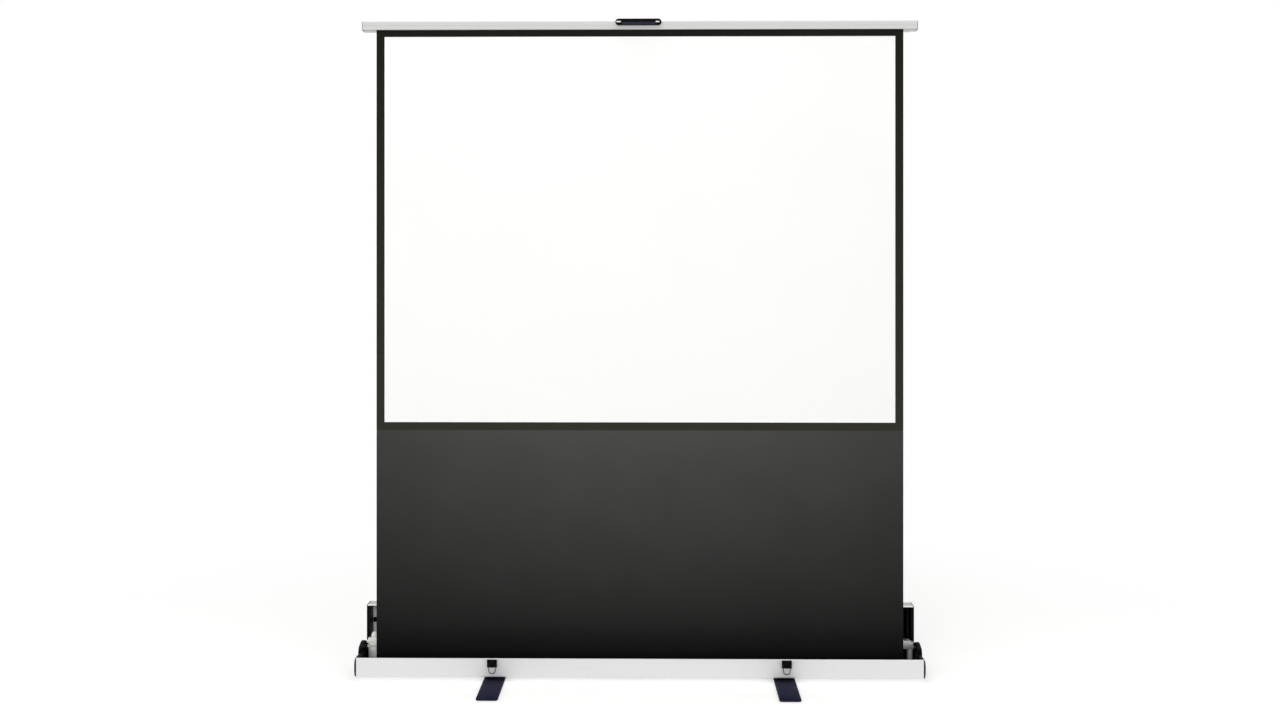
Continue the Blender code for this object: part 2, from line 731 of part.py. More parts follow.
def make_top_bar(aluminium, plastic, grip_plastic, carrier):
    """Hollow top bar with its end caps and the pull handle on its front."""
    half = CASE_LENGTH / 2 - BAR_INSET
    outer = box_outline(BAR_FRONT, BAR_BACK, BAR_BOTTOM_HEIGHT, BAR_TOP, BAR_CORNER)
    inner = box_outline(
        BAR_FRONT + BAR_WALL,
        BAR_BACK - BAR_WALL,
        BAR_BOTTOM_HEIGHT + BAR_WALL,
        BAR_TOP - BAR_WALL,
        BAR_CORNER - BAR_WALL,
    )
    dress(extruded("top_bar", [outer, inner], -half, half, "X"), aluminium, carrier)
    for side, sign in SIDES.items():
        low, high = sorted((sign * (half + SEAT_GAP), sign * (half + BAR_CAP_THICKNESS)))
        cap = extruded(f"bar_cap_{side}", [outer], low, high, "X")
        soften_rim(cap, "X", sign, BAR_CAP_EDGE, SMALL_EDGE_STEPS)
        dress(cap, plastic, carrier)
    top = BAR_TOP + HANDLE_RISE
    outline = box_outline(
        -HANDLE_WIDTH / 2, HANDLE_WIDTH / 2, top - HANDLE_HEIGHT, top, HANDLE_HEIGHT / 2 - SEAT_GAP
    )
    back = BAR_FRONT - SEAT_GAP
    handle = extruded("pull_handle", [outline], back - HANDLE_THICKNESS, back, "Y")
    soften_rim(handle, "Y", -1, HANDLE_EDGE, HANDLE_EDGE_STEPS)
    dress(handle, grip_plastic, carrier)


def layer_span(layer):
    """Front and back of one layer of arms."""
    front = CASE_FRONT + ARM_FRONT + layer * ARM_PITCH
    return front, front + ARM_THICKNESS


def arm_outlines(start, end, start_bore, end_bore):
    """Flat bar with round ends about two pivots, and its two bores."""
    start, end = Vector(start), Vector(end)
    along = (end - start).normalized()
    first = math.atan2(along.y, along.x)
    outline = []
    for centre, turn in ((start, math.pi / 2), (end, -math.pi / 2)):
        for step in range(ROUND_SIDES // 2 + 1):
            angle = first + turn + math.pi * step / (ROUND_SIDES // 2)
            outline.append(centre + ARM_END_RADIUS * Vector((math.cos(angle), math.sin(angle))))
    return [outline, circle_outline(*start, start_bore), circle_outline(*end, end_bore)]


def make_arms(side, sign, aluminium, steel, lower_carrier, upper_carrier, bar_carrier):
    """Lower and upper arm of one side with the pins at their three pivots."""
    upper_layer, lower_layer = ARM_LAYERS[side]
    upper_span, lower_span = layer_span(upper_layer), layer_span(lower_layer)
    base = (sign * PIVOT_OFFSET, PIVOT_HEIGHT)
    knee = (sign * KNEE_OFFSET, KNEE_HEIGHT)
    top = (sign * PIVOT_OFFSET, TOP_PIVOT_HEIGHT)
    top_bore = ARM_BORE + (OPEN_PIVOT_GAP if side == "right" else 0)
    lower = extruded(f"lower_arm_{side}", arm_outlines(base, knee, ARM_BORE, ARM_BORE), *lower_span, "Y")
    dress(lower, aluminium, lower_carrier)
    upper = extruded(f"upper_arm_{side}", arm_outlines(knee, top, ARM_BORE, top_bore), *upper_span, "Y")
    dress(upper, aluminium, upper_carrier)
    pedestal_back = lower_span[1] + ARM_GAP + PEDESTAL_DEPTH
    for name, place, span, carrier in (
        ("base_pin", base, (lower_span[0], pedestal_back), None),
        ("knee_pin", knee, (upper_span[0], lower_span[1]), lower_carrier),
        ("top_pin", top, (BAR_BACK + SEAT_GAP, upper_span[1]), bar_carrier),
    ):
        dress(round_bar(f"{name}_{side}", place, PIN_RADIUS, *span, "Y"), steel, carrier)


def make_bar_bracket(side, sign, aluminium, carrier):
    """Lug on the back of the top bar that reaches to the upper arm."""
    upper_front = layer_span(ARM_LAYERS[side][0])[0]
    centre = sign * PIVOT_OFFSET
    outline = box_outline(
        centre - BAR_BRACKET_WIDTH / 2,
        centre + BAR_BRACKET_WIDTH / 2,
        BAR_BOTTOM_HEIGHT + BAR_BRACKET_INSET,
        BAR_TOP - BAR_BRACKET_INSET / 2,
        BAR_BRACKET_CORNER,
    )
    hole = circle_outline(centre, TOP_PIVOT_HEIGHT, ARM_BORE)
    back = upper_front - SEAT_GAP
    piece = extruded(f"bar_bracket_{side}", [outline, hole], BAR_BACK + SEAT_GAP, back, "Y")
    dress(piece, aluminium, carrier)


def pedestal_corners(side):
    """Outline of a pedestal as (distance outward from the pivot, height, radius)."""
    foot = TRAY_FLOOR + SEAT_GAP
    head = ARM_END_RADIUS
    if side == "left":
        collar_low = PIVOT_HEIGHT - COLLAR_DROP
        flange_low = PIVOT_HEIGHT - FLANGE_DROP
        flange_top = flange_low + FLANGE_HEIGHT
        plate_top = flange_top + PLATE_HEIGHT
        knob_top = plate_top + KNOB_HEIGHT
        return (
            (-STEM_INNER, foot, 0),
            (STEM_OUTER, foot, 0),
            (STEM_OUTER, collar_low, 0),
            (COLLAR_OUTER, collar_low, 0),
            (COLLAR_OUTER, flange_low, 0),
            (FLANGE_OUTER, flange_low, 0),
            (FLANGE_OUTER, flange_top, PEDESTAL_ROUND),
            (STEM_OUTER, flange_top, 0),
            (STEM_OUTER, plate_top, PEDESTAL_ROUND),
            (KNOB_OUTER, plate_top, 0),
            (KNOB_OUTER, knob_top, KNOB_ROUND),
            (KNOB_INNER, knob_top, KNOB_ROUND),
            (KNOB_INNER, plate_top, 0),
            (-head, plate_top, PEDESTAL_ROUND),
            (-head, flange_top, 0),
            (-FLANGE_INNER, flange_top, PEDESTAL_ROUND),
            (-FLANGE_INNER, flange_low, 0),
            (-STEM_INNER, flange_low, 0),
        )
    top = PIVOT_HEIGHT + head
    underside = PIVOT_HEIGHT - head
    block_low = PIVOT_HEIGHT - BLOCK_DROP
    return (
        (LEG_INNER, foot, 0),
        (LEG_OUTER, foot, 0),
        (LEG_OUTER, block_low, 0),
        (BLOCK_OUTER, block_low, 0),
        (BLOCK_OUTER, top - BLOCK_TOP_DROP, PEDESTAL_ROUND),
        (BLOCK_TOP_OUTER, top, PEDESTAL_ROUND),
        (-head, top, PEDESTAL_ROUND),
        (-head, underside, PEDESTAL_ROUND),
        (BLOCK_CUT_INNER, underside, PEDESTAL_ROUND),
        (BLOCK_CUT_OUTER, block_low, 0),
        (LEG_INNER, block_low, 0),
    )


def make_pedestal(side, sign, aluminium):
    """Cast block on the tray floor that carries the lower arm's pivot."""
    front = layer_span(ARM_LAYERS[side][1])[1] + ARM_GAP
    centre = sign * PIVOT_OFFSET
    corners = [(centre + sign * out, height, radius) for out, height, radius in pedestal_corners(side)]
    hole = circle_outline(centre, PIVOT_HEIGHT, ARM_BORE)
    piece = extruded(
        f"arm_pedestal_{side}", [rounded_outline(corners), hole], front, front + PEDESTAL_DEPTH, "Y"
    )
    dress(piece, aluminium)


def make_foot(side, centre, plastic, rubber, steel, carrier):
    """Swivelling foot with its boss, two rubber pads and the stud under the tray that it turns on."""
    half = FOOT_LENGTH / 2
    outline = box_outline(centre - FOOT_WIDTH / 2, centre + FOOT_WIDTH / 2, -half, half, FOOT_CORNER)
    foot = extruded(f"foot_{side}", [outline], FOOT_BOTTOM, FOOT_TOP, "Z")
    soften_rim(foot, "Z", 1, FOOT_EDGE, FOOT_EDGE_STEPS)
    boss_top = CASE_BOTTOM - SEAT_GAP
    boss = round_bar(
        f"foot_boss_{side}", (centre, 0), FOOT_BOSS_RADIUS, FOOT_TOP - FOOT_EDGE, boss_top, "Z", ROLLER_SIDES
    )
    combine(foot, boss, "UNION")
    bore = round_bar(
        f"foot_bore_{side}",
        (centre, 0),
        FOOT_BOLT_RADIUS + SEAT_GAP,
        FOOT_BOTTOM - CUT_OVERRUN,
        boss_top + CUT_OVERRUN,
        "Z",
    )
    combine(foot, bore, "DIFFERENCE")
    head_low = FOOT_BOTTOM + FOOT_BOLT_RECESS
    head_high = head_low + FOOT_BOLT_LOWER_HEIGHT
    recess = round_bar(
        f"foot_recess_{side}",
        (centre, 0),
        FOOT_BOLT_LOWER_HEAD + SEAT_GAP,
        FOOT_BOTTOM - CUT_OVERRUN,
        head_high + SEAT_GAP,
        "Z",
    )
    combine(foot, recess, "DIFFERENCE")
    seat = boss_top - FOOT_BOLT_HEAD_HEIGHT
    counterbore = round_bar(
        f"foot_counterbore_{side}",
        (centre, 0),
        FOOT_BOLT_HEAD + SEAT_GAP,
        seat - SEAT_GAP,
        boss_top + CUT_OVERRUN,
        "Z",
    )
    combine(foot, counterbore, "DIFFERENCE")
    dress(foot, plastic, carrier)
    for end, direction in (("front", -1), ("rear", 1)):
        low, high = sorted((direction * (half - PAD_INSET - PAD_LENGTH), direction * (half - PAD_INSET)))
        shape = box_outline(centre - PAD_WIDTH / 2, centre + PAD_WIDTH / 2, low, high, PAD_CORNER)
        dress(extruded(f"foot_pad_{side}_{end}", [shape], 0, PAD_THICKNESS, "Z"), rubber, carrier)
    profile = (
        (0, boss_top),
        (FOOT_BOLT_HEAD, boss_top),
        (FOOT_BOLT_HEAD, seat),
        (FOOT_BOLT_RADIUS, seat),
        (FOOT_BOLT_RADIUS, head_high),
        (FOOT_BOLT_LOWER_HEAD, head_high),
        (FOOT_BOLT_LOWER_HEAD, head_low),
        (0, head_low),
    )
    dress(turned(f"foot_bolt_{side}", profile, (centre, 0, 0)), steel)


def make_latch(side, centre, plastic, steel, lever_carrier, bail_carrier):
    """Toggle latch on the front: cheeked base, lever on its trunnion, and the wire bail that hangs from the lever."""
    half = LATCH_WIDTH / 2
    inner = half - LATCH_CHEEK
    cheeks = [
        (centre - half, LATCH_BACK),
        (centre - half, CHEEK_FRONT),
        (centre - inner, CHEEK_FRONT),
        (centre - inner, CHEEK_BACK),
        (centre + inner, CHEEK_BACK),
        (centre + inner, CHEEK_FRONT),
        (centre + half, CHEEK_FRONT),
        (centre + half, LATCH_BACK),
    ]
    base = extruded(f"latch_base_{side}", [cheeks], LATCH_BOTTOM, LATCH_TOP, "Z")
    hole = round_bar(
        f"latch_hole_{side}",
        (TRUNNION_Y, TRUNNION_Z),
        TRUNNION_RADIUS + SEAT_GAP,
        centre - half - CUT_OVERRUN,
        centre + half + CUT_OVERRUN,
        "X",
        HINGE_SIDES,
    )
    combine(base, hole, "DIFFERENCE")
    dress(base, plastic)
    back = TRUNNION_Y + LEVER_THICKNESS / 2
    front = TRUNNION_Y - LEVER_THICKNESS / 2
    top = TRUNNION_Z + LEVER_THICKNESS / 2
    head = LEVER_THICKNESS / 2 - WELD
    outline = rounded_outline(
        (
            (front, LATCH_BOTTOM, LEVER_NOSE),
            (back, LATCH_BOTTOM, LEVER_NOSE),
            (back, top, head),
            (front, top, head),
        )
    )
    bail_hole = circle_outline(TRUNNION_Y, BAIL_Z, BAIL_WIRE + SEAT_GAP, HINGE_SIDES)
    lever = extruded(
        f"latch_lever_{side}", [outline, bail_hole], centre - LEVER_WIDTH / 2, centre + LEVER_WIDTH / 2, "X"
    )
    trunnion = round_bar(
        f"latch_trunnion_{side}", (TRUNNION_Y, TRUNNION_Z), TRUNNION_RADIUS, centre - half, centre + half, "X",
        HINGE_SIDES,
    )
    combine(lever, trunnion, "UNION")
    dress(lever, plastic, lever_carrier)
    radius = BAIL_WIDTH / 2
    low = BAIL_Z - BAIL_LENGTH + radius + BAIL_WIRE
    corners = rounded_outline(
        (
            (centre - radius, BAIL_Z, BAIL_CORNER),
            (centre - radius, BAIL_Z - BAIL_CORNER - BAIL_WIRE, 0),
            (centre + radius, BAIL_Z - BAIL_CORNER - BAIL_WIRE, 0),
            (centre + radius, BAIL_Z, BAIL_CORNER),
        )
    )
    left_side = corners[: len(corners) // 2]
    right_side = corners[len(corners) // 2 :]
    bow = []
    for step in range(2 * BAIL_STEPS + 1):
        angle = math.pi * (1 + step / (2 * BAIL_STEPS))
        bow.append((centre + radius * math.cos(angle), low + radius * math.sin(angle)))
    points = [(x, TRUNNION_Y, z) for x, z in [*left_side, *bow, *right_side]]
    dress(wire(f"latch_bail_{side}", points, BAIL_WIRE, cyclic=True), steel, bail_carrier)


def make_catch(side, centre, steel, hinge):
    """Hook on the lid that the bail is drawn over."""
    low = LID_TOP + SEAT_GAP
    front = LID_FRONT + CATCH_INSET
    back = front + CATCH_LENGTH
    outline = [
        (front, low),
        (back, low),
        (back, low + CATCH_PLATE),
        (front + CATCH_PLATE, low + CATCH_PLATE),
        (front + CATCH_PLATE, low + CATCH_RISE - CATCH_PLATE),
        (front + CATCH_HOOK, low + CATCH_RISE - CATCH_PLATE),
        (front + CATCH_HOOK, low + CATCH_RISE),
        (front, low + CATCH_RISE),
    ]
    piece = extruded(f"lid_catch_{side}", [outline], centre - CATCH_WIDTH / 2, centre + CATCH_WIDTH / 2, "X")
    dress(piece, steel, hinge)


def make_carry_handle(plastic, steel, hinge, swing):
    """Carrying handle that lies on the lid, in the lugs of its mounting plate."""
    low = LID_TOP + SEAT_GAP
    half = GRIP_WIDTH / 2
    lug_inner = half + GRIP_RADIUS + SEAT_GAP
    lug_outer = lug_inner + GRIP_LUG
    top = GRIP_Z + GRIP_RADIUS + GRIP_PLATE
    outline = [
        (-lug_outer, low),
        (lug_outer, low),
        (lug_outer, top),
        (lug_inner, top),
        (lug_inner, low + GRIP_PLATE),
        (-lug_inner, low + GRIP_PLATE),
        (-lug_inner, top),
        (-lug_outer, top),
    ]
    depth = GRIP_LUG_DEPTH / 2
    plate = extruded("handle_plate", [outline], GRIP_Y - depth, GRIP_Y + depth, "Y")
    hole = round_bar(
        "handle_plate_bore",
        (GRIP_Y, GRIP_Z),
        GRIP_RADIUS + SEAT_GAP,
        -lug_outer - CUT_OVERRUN,
        lug_outer + CUT_OVERRUN,
        "X",
        HINGE_SIDES,
    )
    combine(plate, hole, "DIFFERENCE")
    dress(plate, steel, hinge)
    far = GRIP_Y + GRIP_REACH
    corners = rounded_outline(
        (
            (-lug_outer, GRIP_Y, 0),
            (-half, GRIP_Y, GRIP_CORNER / 2),
            (-half, far, GRIP_CORNER),
            (half, far, GRIP_CORNER),
            (half, GRIP_Y, GRIP_CORNER / 2),
            (lug_outer, GRIP_Y, 0),
        ),
        GRIP_STEPS,
    )
    points = [(x, y, GRIP_Z) for x, y in corners]
    dress(wire("carry_handle", points, GRIP_RADIUS), plastic, swing)


def build():
    """Make every part of the screen."""
    silver = finish_material("anodised aluminium", (0.74, 0.74, 0.73), 0.42, 0.85)
    arm_silver = finish_material("mill aluminium", (0.66, 0.66, 0.66), 0.38, 0.95)
    navy = finish_material("navy moulded plastic", (0.021, 0.023, 0.044), 0.45, 0.0)
    black_plastic = finish_material("black moulded plastic", (0.006, 0.006, 0.009), 0.45, 0.0)
    bar_plastic = finish_material("grey moulded plastic", (0.38, 0.38, 0.39), 0.5, 0.0)
    foam = finish_material("black foam", (0.004, 0.004, 0.006), 0.9, 0.0)
    rubber = finish_material("black rubber", (0.01, 0.01, 0.011), 0.8, 0.0)
    steel = finish_material("zinc plated steel", (0.45, 0.45, 0.46), 0.35, 1.0)
    white = finish_material("matt white screen cloth", (0.95, 0.95, 0.94), 0.9, 0.0)
    black = finish_material("black screen border", (0.022, 0.022, 0.018), 0.8, 0.0)
    drop_black = finish_material("black screen cloth", (0.03, 0.03, 0.028), 0.8, 0.0)

    make_base_tray(silver)
    for side, sign in SIDES.items():
        make_base_cap(side, sign, navy)
    hinge = joint_axis("lid_hinge_axis", (0, HINGE_Y, HINGE_Z))
    make_lid(silver, black_plastic, foam, hinge)
    make_hinge(silver, steel, hinge)
    spin = joint_axis("roller_axis", (0, ROLLER_Y, ROLLER_Z))
    make_roller(arm_silver, black_plastic, steel, drop_black, spin)
    make_sheet(white, black, drop_black)

    carriers = {}
    for side, sign in SIDES.items():
        upper_layer, lower_layer = ARM_LAYERS[side]
        base = (sign * PIVOT_OFFSET, layer_span(lower_layer)[0], PIVOT_HEIGHT)
        knee = (sign * KNEE_OFFSET, layer_span(upper_layer)[0], KNEE_HEIGHT)
        lower = joint_axis(f"base_pivot_{side}", base)
        carriers[side] = (lower, joint_axis(f"knee_pivot_{side}", knee, lower))
    top_place = (-PIVOT_OFFSET, layer_span(ARM_LAYERS["left"][0])[0], TOP_PIVOT_HEIGHT)
    bar_carrier = joint_axis("bar_pivot", top_place, carriers["left"][1])
    make_top_bar(silver, bar_plastic, navy, bar_carrier)
    for side, sign in SIDES.items():
        make_arms(side, sign, arm_silver, steel, *carriers[side], bar_carrier)
        make_bar_bracket(side, sign, arm_silver, bar_carrier)
        make_pedestal(side, sign, arm_silver)

    for side, sign, centre in foot_places():
        swivel = joint_axis(f"foot_axis_{side}", (centre, 0, CASE_BOTTOM))
        make_foot(side, centre, navy, rubber, steel, swivel)
        place = sign * (CASE_LENGTH / 2 - LATCH_INSET)
        lever = joint_axis(f"latch_axis_{side}", (place, TRUNNION_Y, TRUNNION_Z))
        bail = joint_axis(f"bail_axis_{side}", (place, TRUNNION_Y, BAIL_Z), lever)
        make_latch(side, place, black_plastic, steel, lever, bail)
        make_catch(side, place, steel, hinge)
    swing = joint_axis("carry_handle_axis", (0, GRIP_Y, GRIP_Z), hinge)
    make_carry_handle(black_plastic, steel, hinge, swing)


clear_scene()
PARTS = new_collection("portable projection screen")
CUTTERS = new_collection("cutters")
build()
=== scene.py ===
import json
import math

import bmesh
import bpy
import numpy as np
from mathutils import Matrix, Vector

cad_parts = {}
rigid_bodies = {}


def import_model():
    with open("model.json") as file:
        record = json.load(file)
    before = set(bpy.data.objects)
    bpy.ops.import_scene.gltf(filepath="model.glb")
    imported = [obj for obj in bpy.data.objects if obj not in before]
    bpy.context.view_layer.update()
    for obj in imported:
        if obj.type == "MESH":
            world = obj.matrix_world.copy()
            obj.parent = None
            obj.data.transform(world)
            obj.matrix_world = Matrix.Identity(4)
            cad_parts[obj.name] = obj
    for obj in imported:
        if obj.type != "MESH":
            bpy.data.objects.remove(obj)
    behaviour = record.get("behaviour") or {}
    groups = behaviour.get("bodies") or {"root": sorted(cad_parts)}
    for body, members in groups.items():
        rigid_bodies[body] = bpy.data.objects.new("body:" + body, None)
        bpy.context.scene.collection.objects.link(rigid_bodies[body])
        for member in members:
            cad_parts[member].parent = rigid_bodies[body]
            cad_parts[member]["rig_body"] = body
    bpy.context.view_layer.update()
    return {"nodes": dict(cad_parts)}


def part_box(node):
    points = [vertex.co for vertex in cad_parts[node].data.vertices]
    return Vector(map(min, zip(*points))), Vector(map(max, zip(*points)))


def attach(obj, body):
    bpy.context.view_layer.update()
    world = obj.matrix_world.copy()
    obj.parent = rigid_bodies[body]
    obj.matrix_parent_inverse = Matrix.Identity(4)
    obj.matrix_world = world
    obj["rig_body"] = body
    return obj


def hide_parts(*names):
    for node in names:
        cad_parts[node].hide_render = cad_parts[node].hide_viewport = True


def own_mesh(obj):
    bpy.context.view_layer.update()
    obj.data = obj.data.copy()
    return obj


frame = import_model()

bl_info = {
    "name": "Portable projection screen finish",
    "version": (1, 0, 0),
    "blender": (4, 5, 0),
    "location": "View3D > Sidebar > Screen",
    "description": "Detailed pieces, cloth and finishes for a floor-standing pull-up projection screen",
    "category": "Object",
}

SIDES = (("left", -1), ("right", 1))
AXES = {"X": (2, 0, 1), "Y": (0, 2, 1), "Z": (0, 1, 2)}
SMOOTH_ANGLE = 40.0
WELD = 1e-6
# Thickness of the lid's outer end plates.
PLATE = 0.0025
# How far the case's rims are turned in.
LIP = 0.0034
# A face of the case's section that lies further in than this is one of its inside.
WALL = 0.0022
# Rounding of the cut ends of extrusions.
CUT = 0.0002
# How far the base's extrusion shows past the tray's ends, inside the end caps.
END = 0.0027
# Outermost reach of the base's end caps beyond their CAD boxes.
BULGE = 0.0012
# How far the border's ink covers the picture area's sides.
INK = 0.0026
# How far the pull handle's moulding runs on at its left end.
GRIP = 0.0054
# Lean of the open arms in degrees.
LEAN = 63


def linear(code):
    """Linear red, green and blue of an sRGB hex colour."""
    values = np.array([int(code[place : place + 2], 16) for place in (0, 2, 4)]) / 255
    return tuple(np.where(values <= 0.04045, values / 12.92, ((values + 0.055) / 1.055) ** 2.4).tolist())


def low(node):
    """Lowest corner of a CAD node."""
    return np.array(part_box(node)[0])


def high(node):
    """Highest corner of a CAD node."""
    return np.array(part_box(node)[1])


def box(node):
    """Both corners of a CAD node."""
    return low(node), high(node)


# Sizes and colours that a user may change


def colour_property(name, code, description):
    """Colour with an sRGB hex default."""
    return bpy.props.FloatVectorProperty(
        name=name, description=description, default=linear(code), subtype="COLOR", size=3, min=0, max=1
    )


def length_property(name, default, description):
    """Length in metres."""
    return bpy.props.FloatProperty(name=name, description=description, default=default, min=0, unit="LENGTH")


class ScreenColours(bpy.types.PropertyGroup):
    """Colours of the screen's finishes."""

    case: colour_property("Case", "EEEEEF", "Anodised aluminium of the case")
    bar: colour_property("Top bar", "DCDCDB", "Anodised aluminium of the top bar")
    lid: colour_property("Lid", "BEBFBB", "Scuffed anodised aluminium of the lid")
    arms: colour_property("Arms", "CDCDCB", "Drawn and cast aluminium of the arms")
    steel: colour_property("Steel", "B9BABC", "Zinc plated steel")
    chrome: colour_property("Chrome", "EFF0F3", "Studs of the pull handle")
    oxide: colour_property("Oxide", "353530", "Wire of the latches' bails")
    navy: colour_property("Navy", "08091A", "Feet")
    # Lighter navy of the feet beyond the painted shadow of the case.
    dust: colour_property("Dust", "22243A", "Dust on the feet")
    caps: colour_property("End caps", "030309", "End caps of the base")
    # Black inside the base: painted shade of its deep inside.
    paint: colour_property("Paint", "0D0D0E", "Paint inside the base")
    coat: colour_property("Coat", "EFEFE6", "Powder coat of the left pedestal's flange")
    lacquer: colour_property("Lacquer", "EAEAE8", "Aluminium lacquer of the pedestals' stems")
    inside: colour_property("Inside", "F4F4F2", "Enamel inside the lid")
    # The handle lip's lighter navy is painted light on the handle's lower half.
    lip: colour_property("Handle lip", "242738", "Lower lip of the pull handle")
    plate: colour_property("Plate", "F6F6F4", "Nylon plate and knob of the left pedestal")
    # The lid rim's brighter colour is a painted highlight.
    rim: colour_property("Rim", "F0F0EC", "Worn rim of the lid")
    black: colour_property("Black", "030304", "Latches, lid ends and handles")
    cap: colour_property("Bar cap", "A8A9AC", "End caps of the top bar")
    foam: colour_property("Foam", "0B0B0E", "Pads inside the lid")
    rubber: colour_property("Rubber", "1D1D1E", "Pads under the feet")
    picture: colour_property("Picture", "FAFAF9", "Matt white picture area")
    border: colour_property("Border, upper", "181814", "Printed border at the top bar")
    border_low: colour_property("Border, lower", "302F2A", "Printed border at the seam")
    # The drop's grey upper colour is a painted sheen on the black cloth, which falls to black at the case.
    drop_top: colour_property("Drop, upper", "494948", "Black cloth below the picture")
    drop_low: colour_property("Drop, lower", "020202", "Black cloth at the case")


class ScreenSizes(bpy.types.PropertyGroup):
    """Sizes of the finer shapes."""

    edge: length_property("Edge", 0.0006, "Rounding of machined and moulded edges")
    foot_edge: length_property("Foot edge", 0.0028, "Rounding of the feet's upper edge")
    bead: length_property("Bead", 0.0058, "Height of the bead along the case's rim")
    bead_step: length_property("Bead step", 0.0006, "How far the bead stands proud")
    ripple: length_property("Ripple", 0.0011, "Height of the soft folds in the black drop")
    seam: length_property("Seam", 0.010, "Overlap of the picture and the drop")
    cloth: length_property("Cloth", 0.0005, "Thickness of the cloth")


class ScreenStage(bpy.types.PropertyGroup):
    """Camera and light."""

    distance: length_property("Distance", 4.564, "Camera to the middle of the case")
    height: length_property("Height", 1.3286, "Camera above the floor")
    turn: bpy.props.FloatProperty(
        name="Turn", description="Camera's angle round the screen", default=math.radians(0.73), subtype="ANGLE"
    )
    lens: bpy.props.FloatProperty(name="Lens", description="Focal length in millimetres", default=40.25, min=1)
    key: bpy.props.FloatProperty(name="Key", description="Power of each side lamp in watts", default=34, min=0)
    front: bpy.props.FloatProperty(name="Front", description="Power of the front lamp in watts", default=50, min=0)
    top: bpy.props.FloatProperty(name="Top", description="Power of the upper lamp in watts", default=46, min=0)
    ambient: bpy.props.FloatProperty(name="Ambient", description="Strength of the room's light", default=0.49, min=0)


def colour(name):
    """A colour of the settings as four numbers."""
    return (*getattr(bpy.context.scene.screen_colours, name), 1)


def size(name):
    """A size of the settings in metres."""
    return getattr(bpy.context.scene.screen_sizes, name)


# Materials


def add(owner, kind, inputs, output=0, **settings):
    """Add a shader node with its settings, and give one of its outputs.

    Each input is a value, or another node's output to link.
    """
    tree = owner.node_tree
    node = tree.nodes.new(f"ShaderNode{kind}")
    for name, value in settings.items():
        setattr(node, name, value)
    for name, value in inputs.items():
        if isinstance(value, bpy.types.NodeSocket):
            tree.links.new(value, node.inputs[name])
        else:
            node.inputs[name].default_value = value
    return node.outputs[output] if node.outputs else None


def blank(owner):
    """The same material or world with no nodes in it."""
    owner.use_nodes = True
    owner.node_tree.nodes.clear()
    return owner


def resin(ior, level=0.5):
    """Sockets of a surface that isn't metal."""
    return {"IOR": ior, "Specular IOR Level": level}


